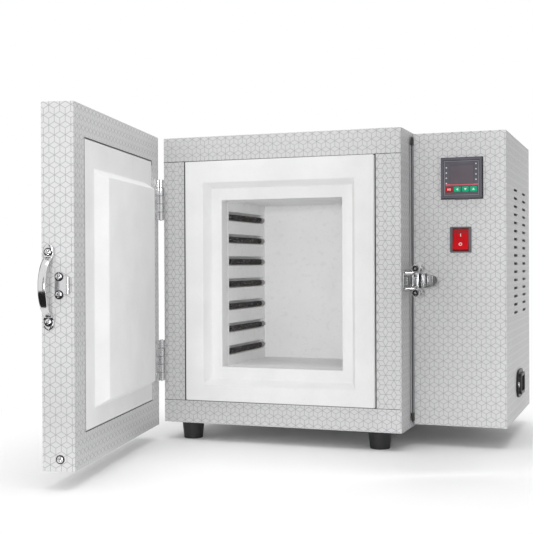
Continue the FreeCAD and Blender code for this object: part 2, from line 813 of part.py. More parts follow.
def control_box():
    """Control casing with its vents and cut-outs, rear cover, rails and bush."""
    x0 = ctrl_x0
    x1 = ctrl_x1
    shell = box(x0, x1, ctrl_y0, ctrl_y1 - sheet, ctrl_z0, ctrl_z1)
    shell = shell.cut(box(x0 + sheet, x1 - sheet, ctrl_y0 + sheet, ctrl_y1,
                          ctrl_z0 + sheet, ctrl_z1 - sheet))
    cuts = []
    for row in range(slot_rows):
        z = slot_bottom_z + slot_h + row * slot_pitch
        for col in (slot_col_1, slot_col_2):
            cuts.append(obround(slot_l, slot_h, 3 * sheet, (x1 - 2 * sheet, ctrl_y0 + col, z),
                                (0, 1, 0), (1, 0, 0)))
    cx, cz = bezel_centre()
    h = case_size / 2 + panel_fit
    cuts.append(box(cx - h, cx + h, ctrl_y0 - 1, ctrl_y0 + 2 * sheet, cz - h, cz + h))
    sx = x0 + rocker_from_left
    w = rocker_body_w / 2 + panel_fit
    h = rocker_body_h / 2 + panel_fit
    cuts.append(box(sx - w, sx + w, ctrl_y0 - 1, ctrl_y0 + 2 * sheet, rocker_z - h, rocker_z + h))
    iy = inlet_y()
    w = inlet_rim_l / 2 + panel_fit
    h = inlet_rim_h / 2 + panel_fit
    cuts.append(box(x1 - 2 * sheet, x1 + 1, iy - w, iy + w, inlet_z - h, inlet_z + h))
    by = body_d - bush_from_rear
    cuts.append(rod(bush_r + seat_gap, (x0 - 1, by, bush_z), (x0 + 2 * sheet, by, bush_z)))
    keep("control_casing", pierce(shell, cuts))

    inset = rear_screw_inset
    screws = [pan_screw(foot_screw_r / 2, leaf_head_r, leaf_head_h, sheet - seat_gap,
                        (x, ctrl_y1, z), (0, 1, 0))
              for x in (x0 + inset, x1 - inset) for z in (ctrl_z0 + inset, ctrl_z1 - inset)]
    cover = box(x0, x1, ctrl_y1 - sheet, ctrl_y1, ctrl_z0, ctrl_z1)
    keep("control_rear_cover", pierce(cover, screws))
    add("cover_screws", screws)

    rails = []
    for y in (rail_front, body_d - rail_rear_inset - rail_w):
        rails.append(box(body_w, x0, y, y + rail_w, ctrl_z0 + rail_end_inset, ctrl_z1 - rail_end_inset))
    keep("spacer_rails", *rails)

    bush = rod(bush_r, (body_w - sheet, by, bush_z), (x0 + sheet, by, bush_z))
    for a in (body_w - sheet - bush_lip, x0 + sheet):
        bush = bush.fuse(rod(bush_r + bush_lip, (a, by, bush_z), (a + bush_lip, by, bush_z)))
    bush = bush.cut(rod(bush_r - bush_wall, (body_w - 9 * sheet, by, bush_z), (x0 + 9 * sheet, by, bush_z)))
    keep("cable_bush", bush)


def bezel_centre():
    """Middle of the controller's bezel, across and up."""
    return (ctrl_x0 + bezel_from_left + bezel_size / 2, ctrl_z1 - bezel_from_top - bezel_size / 2)


def controller():
    """Temperature controller: bezel, case, face, window, board and four buttons."""
    cx, cz = bezel_centre()
    half = bezel_size / 2
    front = ctrl_y0 - bezel_t
    inner = half - bezel_rim
    ledge = inner - ledge_w
    bezel = box(cx - half, cx + half, front, ctrl_y0, cz - half, cz + half)
    bezel = round_edges(bezel, bezel_r, (0, 1, 0))
    face_y = front + face_sink
    board_y = face_y + face_t
    bezel = bezel.cut(box(cx - inner, cx + inner, front - 1, board_y, cz - inner, cz + inner))
    bezel = bezel.cut(box(cx - ledge, cx + ledge, front, ctrl_y0 + 1, cz - ledge, cz + ledge))
    tab = box(cx - clip_w, cx + clip_w, ctrl_y0 - clip_h, ctrl_y0, cz - half - clip_h, cz - half)
    keep("controller_bezel", bezel.fuse(tab))

    case_h = case_size / 2
    case = box(cx - case_h, cx + case_h, ctrl_y0, ctrl_y0 + case_depth, cz - case_h, cz + case_h)
    hollow = case_h - case_wall
    case = case.cut(box(cx - hollow, cx + hollow, ctrl_y0 - 1, ctrl_y0 + case_depth - case_wall,
                        cz - hollow, cz + hollow))
    for i in range(case_slot_count):
        z = cz + (i - (case_slot_count - 1) / 2) * case_slot_pitch
        case = case.cut(box(cx - hollow, cx + hollow, ctrl_y0 + case_depth - case_wall / 2,
                            ctrl_y0 + case_depth + 1, z - case_slot_h / 2, z + case_slot_h / 2))
    clips = [box(cx - clip_w / 2, cx + clip_w / 2, ctrl_y0 + sheet, ctrl_y0 + sheet + clip_l,
                 z, z + clip_h) for z in (cz - case_h - clip_h, cz + case_h)]
    keep("controller_case", case.fuse(clips))

    g = seat_gap
    face = box(cx - inner + g, cx + inner - g, face_y, board_y, cz - inner + g, cz + inner - g)
    wx = cx - half + window_left + bezel_rim
    wz = cz + half - window_top - bezel_rim
    pocket = face_t / 2
    face = face.cut(box(wx, wx + window_w, face_y - 1, face_y + pocket, wz - window_h, wz))
    window = box(wx + g, wx + window_w - g, face_y - g, face_y + pocket, wz - window_h + g, wz - g)
    board = box(cx - ledge + g, cx + ledge - g, board_y + board_gap, board_y + board_gap + board_t,
                cz - ledge + g, cz + ledge - g)
    f = button_fit
    for i, name in enumerate(("set", "left", "down", "up")):
        x = cx + (i - (button_count - 1) / 2) * button_pitch
        z = cz - half + button_row_z
        key = box(x - button_w / 2, x + button_w / 2, face_y - button_stand, board_y,
                  z - button_h / 2, z + button_h / 2)
        key = round_edges(key, button_corner_r, (0, 1, 0))
        stem = rod(button_h / 4, (x, board_y, z), (x, board_y + board_gap - button_travel - f, z))
        keep("button_" + name, key.fuse(stem))
        hole = box(x - button_w / 2 - f, x + button_w / 2 + f, face_y - 1, board_y + 1,
                   z - button_h / 2 - f, z + button_h / 2 + f)
        face = face.cut(hole)
    keep("controller_face", face)
    keep("controller_window", window)
    keep("controller_board", board)


def rocker_switch():
    """Rocker switch: framed housing, tabs and the rocker on its pins."""
    sx = ctrl_x0 + rocker_from_left
    w = rocker_bezel_w / 2
    h = rocker_bezel_h / 2
    y = ctrl_y0
    py = y + rocker_pivot_in
    frame = box(sx - w, sx + w, y - rocker_bezel_t, y, rocker_z - h, rocker_z + h)
    frame = round_edges(frame, rocker_corner_r, (0, 1, 0))
    bw = rocker_body_w / 2
    bh = rocker_body_h / 2
    frame = frame.fuse(box(sx - bw, sx + bw, y, y + rocker_body_d, rocker_z - bh, rocker_z + bh))
    rw = rocker_w / 2
    hole_w = rw + rocker_fit
    hole_r = rocker_r + rocker_fit
    well = box(sx - hole_w, sx + hole_w, y - rocker_bezel_t - 1, py, rocker_z - hole_r, rocker_z + hole_r)
    well = well.fuse(rod(hole_r, (sx - hole_w, py, rocker_z), (sx + hole_w, py, rocker_z)))
    frame = frame.cut(well)
    pin = rocker_pin_l + rocker_fit
    frame = frame.cut(rod(rocker_pin_r + running_fit, (sx - rw - pin, py, rocker_z),
                          (sx + rw + pin, py, rocker_z)))
    keep("rocker_housing", frame)

    body = rod(rocker_r, (sx - rw, py, rocker_z), (sx + rw, py, rocker_z))
    big = 2 * rocker_r
    end_y = y - rocker_proud
    mid_y = y - rocker_valley
    lim_z = math.sqrt(rocker_r ** 2 - (py - end_y) ** 2)
    outline = [V(sx - rw, end_y, rocker_z - lim_z), V(sx - rw, mid_y, rocker_z),
               V(sx - rw, end_y, rocker_z + lim_z), V(sx - rw, end_y, rocker_z + big),
               V(sx - rw, py + rocker_back, rocker_z + big), V(sx - rw, py + rocker_back, rocker_z - big),
               V(sx - rw, end_y, rocker_z - big)]
    blank = Part.Face(Part.makePolygon(outline + [outline[0]])).extrude(V(rocker_w, 0, 0))
    body = body.common(blank)
    body = body.fuse(rod(rocker_pin_r, (sx - rw - rocker_pin_l, py, rocker_z),
                         (sx + rw + rocker_pin_l, py, rocker_z)))
    body.rotate(V(sx, py, rocker_z), V(1, 0, 0), -rocker_tilt)
    keep("rocker", body)


def inlet_y():
    """The inlet sits half way along the control box."""
    return (ctrl_y0 + ctrl_y1) / 2


def mains_inlet():
    """Three-pin inlet with a flange, a raised rim, its pins and two screws."""
    x = ctrl_x1
    y = inlet_y()
    z = inlet_z
    t = inlet_flange_t
    flange = obround(inlet_l, inlet_h, t, (x, y, z), (0, 1, 0), (1, 0, 0))
    out = x + inlet_rim_out
    rim = box(x - inlet_body_d, out, y - inlet_rim_l / 2, y + inlet_rim_l / 2,
              z - inlet_rim_h / 2, z + inlet_rim_h / 2)
    rim = round_edges(rim, inlet_rim_r, (1, 0, 0))
    socket = box(out - inlet_socket_d, out + 1, y - inlet_socket_l / 2, y + inlet_socket_l / 2,
                 z - inlet_socket_h / 2, z + inlet_socket_h / 2)
    socket = round_edges(socket, inlet_socket_r, (1, 0, 0))
    screws = [pan_screw(inlet_screw_r, leaf_head_r, latch_head_h, t + sheet,
                        (x + t, y + way * inlet_screw_pitch / 2, z), (1, 0, 0)) for way in (-1, 1)]
    floor = out - inlet_socket_d
    pins = []
    for dy, dz in ((-inlet_pin_gap, -inlet_pin_step / 2), (0, inlet_pin_step / 2),
                   (inlet_pin_gap, -inlet_pin_step / 2)):
        pins.append(box(floor - inlet_pin_h, floor + inlet_pin_l, y + dy - inlet_pin_w / 2,
                        y + dy + inlet_pin_w / 2, z + dz - inlet_pin_h / 2, z + dz + inlet_pin_h / 2))
    keep("inlet_housing", pierce(flange.fuse(rim).cut(socket), screws + pins))
    keep("inlet_pins", *pins)
    keep("inlet_screws", *screws)
    keep("control_casing", pierce(NODES["control_casing"][0], screws))


def power_parts():
    """Finned heat sink, solid-state relay and terminal block."""
    x = ctrl_x0 + sheet
    y1 = ctrl_y1 - sheet - sink_from_rear
    y0 = y1 - sink_l
    z0 = sink_z - sink_h / 2
    sink = box(x + sink_fin_h, x + sink_fin_h + sink_base_t, y0, y1, z0, z0 + sink_h)
    step = (sink_h - sink_fin_t) / (sink_fin_count - 1)
    for i in range(sink_fin_count):
        z = z0 + i * step
        sink = sink.fuse(box(x, x + sink_fin_h, y0, y1, z, z + sink_fin_t))
    keep("heat_sink", sink)
    rx = x + sink_fin_h + sink_base_t
    ry = (y0 + y1) / 2
    relay = box(rx, rx + relay_t, ry - relay_l / 2, ry + relay_l / 2,
                sink_z - relay_h / 2, sink_z + relay_h / 2)
    keep("solid_state_relay", round_edges(relay, relay_r, (1, 0, 0)))
    bx = (ctrl_x0 + ctrl_x1) / 2
    by = ctrl_y0 + block_l
    bz = ctrl_z0 + sheet
    block = box(bx - block_h / 2, bx + block_h / 2, by, by + block_l, bz, bz + block_t)
    way = block_l / block_ways
    for i in range(1, block_ways):
        y = by + i * way
        block = block.cut(box(bx - block_h, bx + block_h, y - block_gap / 2, y + block_gap / 2,
                              bz + block_t / 2, bz + 2 * block_t))
    keep("terminal_block", block)


DOOR_NODES = ("door_shell", "door_inner_frame", "door_plate", "door_insulation", "door_edge_screws",
              "door_handle", "latch_keeper", "hinge_door_leaves", "hinge_door_screws")


def main():
    """Make every node, open the door, move the origin to the floor and export."""
    heating_body()
    chamber()
    door_assembly()
    handle()
    keeper()
    hinges()
    latch()
    control_box()
    controller()
    rocker_switch()
    mains_inlet()
    power_parts()
    for name in DOOR_NODES:
        NODES[name] = [swing(s) for s in NODES[name]]
    whole = Part.makeCompound([s for solids in NODES.values() for s in solids])
    b = whole.optimalBoundingBox(False, False)
    shift = V(-(b.XMin + b.XMax) / 2, -(b.YMin + b.YMax) / 2, -b.ZMin)
    print("shift %.4f %.4f %.4f" % tuple(shift))
    print("size %.2f %.2f %.2f" % (b.XLength, b.YLength, b.ZLength))
    os.makedirs("parts", exist_ok=True)
    for name, solids in NODES.items():
        shape = solids[0] if len(solids) == 1 else Part.makeCompound(solids)
        moved = shape.copy()
        moved.translate(shift)
        moved.exportStep("parts/%s.step" % name)
        print(name, len(solids), "valid" if moved.isValid() else "NOT VALID")


main()
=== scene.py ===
import bmesh
import bpy
import numpy as np
from mathutils import Matrix


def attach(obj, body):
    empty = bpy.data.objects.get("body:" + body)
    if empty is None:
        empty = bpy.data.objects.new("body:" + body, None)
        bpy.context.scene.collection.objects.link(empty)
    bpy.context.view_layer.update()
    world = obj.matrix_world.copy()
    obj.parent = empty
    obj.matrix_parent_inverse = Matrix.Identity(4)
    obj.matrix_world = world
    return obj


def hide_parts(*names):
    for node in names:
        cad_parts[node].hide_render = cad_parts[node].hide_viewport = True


# Chamber furnace with its door open. Metres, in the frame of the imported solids.

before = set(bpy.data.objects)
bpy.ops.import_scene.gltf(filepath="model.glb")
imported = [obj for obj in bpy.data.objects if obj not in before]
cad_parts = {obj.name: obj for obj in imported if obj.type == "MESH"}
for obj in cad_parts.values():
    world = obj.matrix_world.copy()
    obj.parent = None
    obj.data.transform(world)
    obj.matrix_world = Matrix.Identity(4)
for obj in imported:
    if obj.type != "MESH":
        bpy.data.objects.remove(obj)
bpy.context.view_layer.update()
MM = 0.001

# The solids were drawn from the heating body's front left lower corner; this is
# where that corner stands here.
CORNER = np.array([-192.7059, 19.9281, 21.4000])
DOOR_ANGLE = np.radians(79.15)
HINGE = np.array([-3.0, -2.0])
DOOR_ALONG = np.array([np.cos(DOOR_ANGLE), -np.sin(DOOR_ANGLE), 0.0])
DOOR_ACROSS = np.array([np.sin(DOOR_ANGLE), np.cos(DOOR_ANGLE), 0.0])
UP = np.array([0.0, 0.0, 1.0])
NO_TRIS = np.zeros((0, 3), int)
HEAD_AROUND = 48


def here(points):
    """Points in the drawing's millimetres, moved by CORNER and turned into metres."""
    return (np.asarray(points, float) + CORNER) * MM


def on_door(points):
    """Points of the closed door, turned about the hinge line by the open angle:
    p = hinge + along * (x - hx) + across * (y - hy), z kept; millimetres in and out."""
    p = np.asarray(points, float)
    x = p[..., 0:1] - HINGE[0]
    y = p[..., 1:2] - HINGE[1]
    out = x * DOOR_ALONG + y * DOOR_ACROSS
    out[..., 0] += HINGE[0]
    out[..., 1] += HINGE[1]
    out[..., 2] = p[..., 2]
    return out


def mesh_from_arrays(name, verts, quads, tris=None):
    """A mesh whose vertex array and face index arrays are given whole."""
    me = bpy.data.meshes.new(name)
    faces = [np.asarray(quads, int).reshape(-1, 4).tolist()] if len(quads) else [[]]
    if tris is not None and len(tris):
        faces.append(np.asarray(tris, int).reshape(-1, 3).tolist())
    me.from_pydata(np.asarray(verts).tolist(), [], sum(faces, []))
    me.validate()
    return me


def settle(me):
    """Merge doubled points and turn every face outwards."""
    bm = bmesh.new()
    bm.from_mesh(me)
    bmesh.ops.remove_doubles(bm, verts=bm.verts, dist=1e-7)
    bmesh.ops.recalc_face_normals(bm, faces=bm.faces)
    bm.to_mesh(me)
    bm.free()


def piece(name, me, body, mat, nodes=(), smooth=40.0):
    """Put a finished mesh on its body, with its material and the nodes it stands for."""
    ob = bpy.data.objects.new(name, me)
    bpy.context.scene.collection.objects.link(ob)
    me.materials.append(mat)
    me.shade_smooth()
    me.set_sharp_from_angle(angle=np.radians(smooth))
    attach(ob, body)
    if nodes:
        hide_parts(*nodes)
    return ob


def put(name, parts, body, mat, nodes=(), smooth=40.0, place=np.asarray):
    """Join parts given in the drawing's millimetres, turn them by place, and add them as one piece."""
    v, q, t = joined(parts)
    me = mesh_from_arrays(name, here(place(v)), q, t)
    settle(me)
    piece(name, me, body, mat, nodes, smooth)


def grid_quads(rows, cols, wrap_rows=False, wrap_cols=False):
    """Corner numbers of every cell of a rows by cols grid, closed round where asked."""
    r = np.arange(rows if wrap_rows else rows - 1)
    c = np.arange(cols if wrap_cols else cols - 1)
    i, j = np.meshgrid(r, c, indexing="ij")
    i2 = (i + 1) % rows
    j2 = (j + 1) % cols
    return np.stack([i * cols + j, i * cols + j2, i2 * cols + j2, i2 * cols + j], -1).reshape(-1, 4)


def tube_along(path, radius, around=8):
    """Tube of round section: each ring is path(t) + radius(t) * (cos a * side + sin a * over),
    with side and over square to the path's direction; the ends are closed with fans."""
    p = np.asarray(path, float)
    n = len(p)
    t = np.gradient(p, axis=0)
    t /= np.linalg.norm(t, axis=1, keepdims=True)
    ref = np.array([0.31, 0.17, 0.93])
    side = np.cross(t, ref)
    side /= np.linalg.norm(side, axis=1, keepdims=True)
    over = np.cross(t, side)
    a = np.linspace(0, 2 * np.pi, around, endpoint=False)
    r = np.broadcast_to(np.asarray(radius, float), (n,))[:, None, None]
    ring = np.cos(a)[None, :, None] * side[:, None] + np.sin(a)[None, :, None] * over[:, None]
    verts = (p[:, None] + r * ring).reshape(-1, 3)
    quads = grid_quads(n, around, wrap_cols=True)
    k = np.arange(around)
    first = len(verts)
    verts = np.vstack([verts, p[0], p[-1]])
    caps = np.concatenate([np.stack([np.full(around, first), (k + 1) % around, k], 1),
                           np.stack([np.full(around, first + 1), (n - 1) * around + k,
                                     (n - 1) * around + (k + 1) % around], 1)])
    return verts, quads, caps


def helix(start, along, length, radius, turns, per_turn=12, phase=0.0):
    """Points start + along * s + radius * (cos q * e1 + sin q * e2), q growing by a turn each pitch."""
    d = np.asarray(along, float)
    e1 = np.cross(d, UP)
    e1 = e1 / np.linalg.norm(e1) if np.linalg.norm(e1) > 0.1 else np.array([1.0, 0, 0])
    e2 = np.cross(d, e1)
    s = np.linspace(0, 1, int(turns * per_turn) + 1)[:, None]
    q = 2 * np.pi * turns * s + phase
    return np.asarray(start, float) + d * length * s + radius * (np.cos(q) * e1 + np.sin(q) * e2)


def joined(parts):
    """Several (verts, quads, tris) put together as one set of arrays."""
    vs, qs, ts, n = [], [], [], 0
    for v, q, t in parts:
        vs.append(v)
        qs.append(np.asarray(q, int).reshape(-1, 4) + n)
        ts.append(np.asarray(t, int).reshape(-1, 3) + n)
        n += len(v)
    return np.vstack(vs), np.vstack(qs), np.vstack(ts)


def lathe(profile, centre, axis, around=24):
    """Profile of (distance s along the axis, radius r) turned round the axis:
    centre + axis * s + r * (cos a * e1 + sin a * e2)."""
    d = np.asarray(axis, float)
    e1 = np.cross(d, UP) if abs(d[2]) < 0.9 else np.array([1.0, 0, 0])
    e1 = e1 / np.linalg.norm(e1)
    e2 = np.cross(d, e1)
    s, r = np.asarray(profile, float).T
    a = np.linspace(0, 2 * np.pi, around, endpoint=False)
    ring = np.cos(a)[None, :, None] * e1 + np.sin(a)[None, :, None] * e2
    verts = np.asarray(centre, float) + s[:, None, None] * d + r[:, None, None] * ring
    return verts.reshape(-1, 3), grid_quads(len(s), around, wrap_cols=True), NO_TRIS


def screw_head(seat, direction, radius, height, turn=0.5):
    """Domed screw head with a cross recess, closed underneath. On a polar grid the height is
    height * (0.62 + 0.38 * (1 - q^2) - 0.60 * slot), q the distance from the middle over the radius;
    slot is 1 within 0.14 radii of either cross line and q under 0.60, and 0 beyond 0.20 and 0.70."""
    d = np.asarray(direction, float)
    e1 = UP - d * (UP @ d)
    e1 /= np.linalg.norm(e1)
    e2 = np.cross(d, e1)
    q = np.array([0, 0.08, 0.16, 0.24, 0.36, 0.48, 0.58, 0.66, 0.74, 0.86, 0.95, 1.0])[:, None]
    a = np.linspace(0, 2 * np.pi, HEAD_AROUND, endpoint=False)[None]
    u, v = q * np.cos(a + turn), q * np.sin(a + turn)
    slot = np.maximum(np.clip((0.20 - np.abs(u)) / 0.06, 0, 1), np.clip((0.20 - np.abs(v)) / 0.06, 0, 1))
    slot = slot * np.clip((0.70 - q) / 0.10, 0, 1)
    h = height * (0.62 + 0.38 * (1 - q ** 2) - 0.60 * slot)
    rows_q = np.vstack([q, [[1.0], [0.0]]])
    rows_h = np.vstack([h, np.zeros((2, HEAD_AROUND))])
    r = radius * rows_q
    verts = (np.asarray(seat, float) + rows_h[..., None] * d + (r * np.cos(a))[..., None] * e1
             + (r * np.sin(a))[..., None] * e2)
    return verts.reshape(-1, 3), grid_quads(len(rows_q), HEAD_AROUND, wrap_cols=True), NO_TRIS


def smooth_path(points, per_span):
    """Points of a smooth curve through the given ones, per_span to each span: a span from b to c is
    the cubic whose slope is (c - a) / 2 at b and (d - b) / 2 at c, a and d being the points beyond."""
    p = np.asarray(points, float)
    ext = np.vstack([2 * p[0] - p[1], p, 2 * p[-1] - p[-2]])
    t = np.linspace(0, 1, per_span, endpoint=False)[:, None]
    out = []
    for a, b, c, d in zip(ext[:-3], ext[1:-2], ext[2:-1], ext[3:]):
        out.append(0.5 * (2 * b + (c - a) * t + (2 * a - 5 * b + 4 * c - d) * t ** 2
                          + (3 * b - a - 3 * c + d) * t ** 3))
    return np.vstack(out + [p[-1:]])


def flat_prism(outline, origin, across, upward, outward, thick):
    """Outline (u, v) set on the plane origin + u * across + v * upward, raised by thick along outward."""
    o = np.asarray(outline, float)
    base = (np.asarray(origin, float) + o[:, 0:1] * np.asarray(across, float)
            + o[:, 1:2] * np.asarray(upward, float))
    n = len(o)
    centre = base.mean(0)
    top = base + np.asarray(outward, float) * thick
    verts = np.vstack([base, top, centre, centre + np.asarray(outward, float) * thick])
    k = np.arange(n)
    k2 = (k + 1) % n
    quads = np.stack([k, k2, n + k2, n + k], 1)
    tris = np.concatenate([np.stack([np.full(n, 2 * n), k2, k], 1),
                           np.stack([np.full(n, 2 * n + 1), n + k, n + k2], 1)])
    return verts, quads, tris


def disc(u, v, r, n=20):
    """Round outline about (u, v)."""
    a = np.linspace(0, 2 * np.pi, n, endpoint=False)
    return np.stack([u + r * np.cos(a), v + r * np.sin(a)], 1)


def bar(u, v, w, h):
    """Rectangular outline about (u, v)."""
    x, y = w / 2, h / 2
    return np.array([[u - x, v - y], [u + x, v - y], [u + x, v + y], [u - x, v + y]])


def new_material(name):
    """Empty node material with its shader; gives the tree and the shader."""
    mat = bpy.data.materials.new(name)
    mat.use_nodes = True
    tree = mat.node_tree
    shader = tree.nodes["Principled BSDF"]
    return mat, tree, shader


def maths(tree, op, a, b=None, c=None):
    """Math node; numbers are set on it and sockets are linked to it."""
    n = tree.nodes.new("ShaderNodeMath")
    n.operation = op
    for i, v in enumerate((a, b, c)):
        if v is None:
            continue
        if isinstance(v, (int, float)):
            n.inputs[i].default_value = v
        else:
            tree.links.new(v, n.inputs[i])
    return n.outputs[0]


def ramp(tree, fac, stops):
    """Colour ramp through (position, grey or colour) stops."""
    n = tree.nodes.new("ShaderNodeValToRGB")
    els = n.color_ramp.elements
    while len(els) < len(stops):
        els.new(0.5)
    for e, (p, c) in zip(els, stops):
        e.position = p
        e.color = (c, c, c, 1) if isinstance(c, (int, float)) else (*c, 1)
    tree.links.new(fac, n.inputs[0])
    return n.outputs[0]


def noise(tree, scale, detail=3.0, stretch=(1, 1, 1)):
    """Noise on Object coordinates; stretch gives grain its direction."""
    co = tree.nodes.new("ShaderNodeTexCoord")
    mp = tree.nodes.new("ShaderNodeMapping")
    mp.inputs["Scale"].default_value = stretch
    tree.links.new(co.outputs["Object"], mp.inputs[0])
    n = tree.nodes.new("ShaderNodeTexNoise")
    n.inputs["Scale"].default_value = scale
    n.inputs["Detail"].default_value = detail
    n.inputs["Roughness"].default_value = 0.55
    tree.links.new(mp.outputs[0], n.inputs["Vector"])
    return n.outputs["Fac"]


def mix(tree, fac, a, b):
    """Mix of two colours by a factor's socket."""
    n = tree.nodes.new("ShaderNodeMix")
    n.data_type = "RGBA"
    tree.links.new(fac, n.inputs[0])
    for sock, v in ((n.inputs[6], a), (n.inputs[7], b)):
        if isinstance(v, tuple):
            sock.default_value = (*v, 1)
        else:
            tree.links.new(v, sock)
    return n.outputs[2]


def bump(tree, shader, height, strength, distance):
    """Bump from a height."""
    n = tree.nodes.new("ShaderNodeBump")
    n.inputs["Strength"].default_value = strength
    n.inputs["Distance"].default_value = distance
    tree.links.new(height, n.inputs["Height"])
    tree.links.new(n.outputs[0], shader.inputs["Normal"])


CUBE_SIDE = 6.5


def cube_lines(tree, half_width):
    """Lines of the tumbling-block pattern on the piece's own UV map, in millimetres.
    In each of three directions 120 degrees apart, lines stand CUBE_SIDE * sqrt(3) / 2 from each
    other, drawn for two sides and left out for one, and each next line is moved by 1.5 sides."""
    uv = tree.nodes.new("ShaderNodeUVMap")
    uv.uv_map = "sheet"
    pitch = CUBE_SIDE * np.sqrt(3) / 2
    found = None
    for turn in (0.0, 2 * np.pi / 3, 4 * np.pi / 3):
        pair = []
        for vec in ((np.cos(turn), np.sin(turn), 0), (-np.sin(turn), np.cos(turn), 0)):
            dot = tree.nodes.new("ShaderNodeVectorMath")
            dot.operation = "DOT_PRODUCT"
            dot.inputs[1].default_value = vec
            tree.links.new(uv.outputs[0], dot.inputs[0])
            pair.append(dot.outputs["Value"])
        line = maths(tree, "ROUND", maths(tree, "DIVIDE", pair[0], pitch))
        off = maths(tree, "ABSOLUTE", maths(tree, "SUBTRACT", pair[0], maths(tree, "MULTIPLY", line, pitch)))
        odd = maths(tree, "FLOORED_MODULO", line, 2.0)
        shifted = maths(tree, "SUBTRACT", pair[1], maths(tree, "MULTIPLY", odd, 1.5 * CUBE_SIDE))
        along = maths(tree, "FLOORED_MODULO", shifted, 3 * CUBE_SIDE)
        drawn = maths(tree, "GREATER_THAN", along, CUBE_SIDE)
        near = tree.nodes.new("ShaderNodeMapRange")
        near.inputs["From Min"].default_value = half_width * 1.7
        near.inputs["From Max"].default_value = half_width * 0.4
        tree.links.new(off, near.inputs["Value"])
        this = maths(tree, "MULTIPLY", near.outputs[0], drawn)
        found = this if found is None else maths(tree, "MAXIMUM", found, this)
    return found


def patterned_sheet(name, light, dark, line=0.24):
    """Satin grey coated sheet with fine darker tumbling-block lines and a soft mottle."""
    mat, tree, sh = new_material(name)
    lines = cube_lines(tree, line)
    cloud = noise(tree, 9.0, 2.0)
    grain = noise(tree, 900.0, 2.0)
    base = ramp(tree, cloud, [(0.3, tuple(0.94 * c for c in light)), (0.7, light)])
    base = mix(tree, maths(tree, "MULTIPLY", grain, 0.10), base, tuple(0.75 * c for c in light))
    tree.links.new(mix(tree, lines, base, dark), sh.inputs["Base Color"])
    sh.inputs["Metallic"].default_value = 0.35
    rough = maths(tree, "MULTIPLY_ADD", lines, 0.10, 0.50)
    tree.links.new(rough, sh.inputs["Roughness"])
    bump(tree, sh, maths(tree, "SUBTRACT", maths(tree, "MULTIPLY", grain, 0.25), lines), 0.25, 0.00006)
    return mat


def fibre(name, colour, speck=0.5, grain_scale=420.0, tone=0.05, blots=0.0):
    """Pressed white fibre: matte, with short specks, a soft mottle, small blots and a dusty bump."""
    mat, tree, sh = new_material(name)
    cloud = noise(tree, 26.0, 4.0)
    fine = noise(tree, grain_scale, 3.0)
    dark = tuple((1 - tone) * c for c in colour)
    base = ramp(tree, cloud, [(0.32, dark), (0.68, colour)])
    if blots:
        blot = ramp(tree, noise(tree, 130.0, 1.0), [(0.56, 0.0), (0.74, 1.0)])
        base = mix(tree, maths(tree, "MULTIPLY", blot, blots), base, tuple(0.6 * c for c in colour))
    spots = ramp(tree, fine, [(0.30, 1.0), (0.42, 0.0)])
    tree.links.new(mix(tree, maths(tree, "MULTIPLY", spots, 0.10 * speck), base, (0.42, 0.41, 0.40)),
                   sh.inputs["Base Color"])
    sh.inputs["Roughness"].default_value = 0.86
    sh.inputs["Specular IOR Level"].default_value = 0.25
    bump(tree, sh, fine, 0.22, 0.0003)
    return mat


def plated(name, colour, rough):
    """Plated or polished metal with faint draw marks."""
    mat, tree, sh = new_material(name)
    marks = noise(tree, 700.0, 2.0, (1, 1, 0.12))
    base = ramp(tree, marks, [(0.3, tuple(0.93 * c for c in colour)), (0.7, colour)])
    tree.links.new(base, sh.inputs["Base Color"])
    sh.inputs["Metallic"].default_value = 1.0
    tree.links.new(maths(tree, "MULTIPLY_ADD", marks, 0.10, rough - 0.05), sh.inputs["Roughness"])
    bump(tree, sh, marks, 0.08, 0.00005)
    return mat


def moulded(name, colour, rough=0.45, grain_scale=1500.0, depth=0.12, shine=0.5):
    """Moulded plastic or rubber with a fine sparked grain; shine is its specular level."""
    mat, tree, sh = new_material(name)
    grain = noise(tree, grain_scale, 2.0)
    cloud = noise(tree, 35.0, 2.0)
    dark, light = tuple(0.86 * c for c in colour), tuple(min(1.0, 1.08 * c) for c in colour)
    base = ramp(tree, cloud, [(0.3, dark), (0.7, light)])
    tree.links.new(base, sh.inputs["Base Color"])
    tree.links.new(maths(tree, "MULTIPLY_ADD", grain, 0.14, rough - 0.07), sh.inputs["Roughness"])
    sh.inputs["Specular IOR Level"].default_value = shine
    bump(tree, sh, grain, depth, 0.00012)
    return mat


def scaled_wire(name, bright_from):
    """Oxidised heating wire: near black, with pale flecks that are scale and painted highlights, and bare
    grey further back than bright_from.
    """
    mat, tree, sh = new_material(name)
    flakes = noise(tree, 520.0, 4.0)
    black, grey, pale = (0.02, 0.018, 0.018), (0.05, 0.045, 0.044), (0.34, 0.32, 0.31)
    base = ramp(tree, flakes, [(0.36, black), (0.56, grey), (0.68, pale)])
    co = tree.nodes.new("ShaderNodeTexCoord")
    part = tree.nodes.new("ShaderNodeSeparateXYZ")
    tree.links.new(co.outputs["Object"], part.inputs[0])
    bare = tree.nodes.new("ShaderNodeMapRange")
    bare.inputs["From Min"].default_value = bright_from
    bare.inputs["From Max"].default_value = bright_from + 0.003
    tree.links.new(part.outputs["Y"], bare.inputs["Value"])
    tree.links.new(mix(tree, bare.outputs[0], base, (0.42, 0.41, 0.40)), sh.inputs["Base Color"])
    sh.inputs["Metallic"].default_value = 0.3
    sh.inputs["Roughness"].default_value = 0.55
    bump(tree, sh, flakes, 0.5, 0.0002)
    return mat


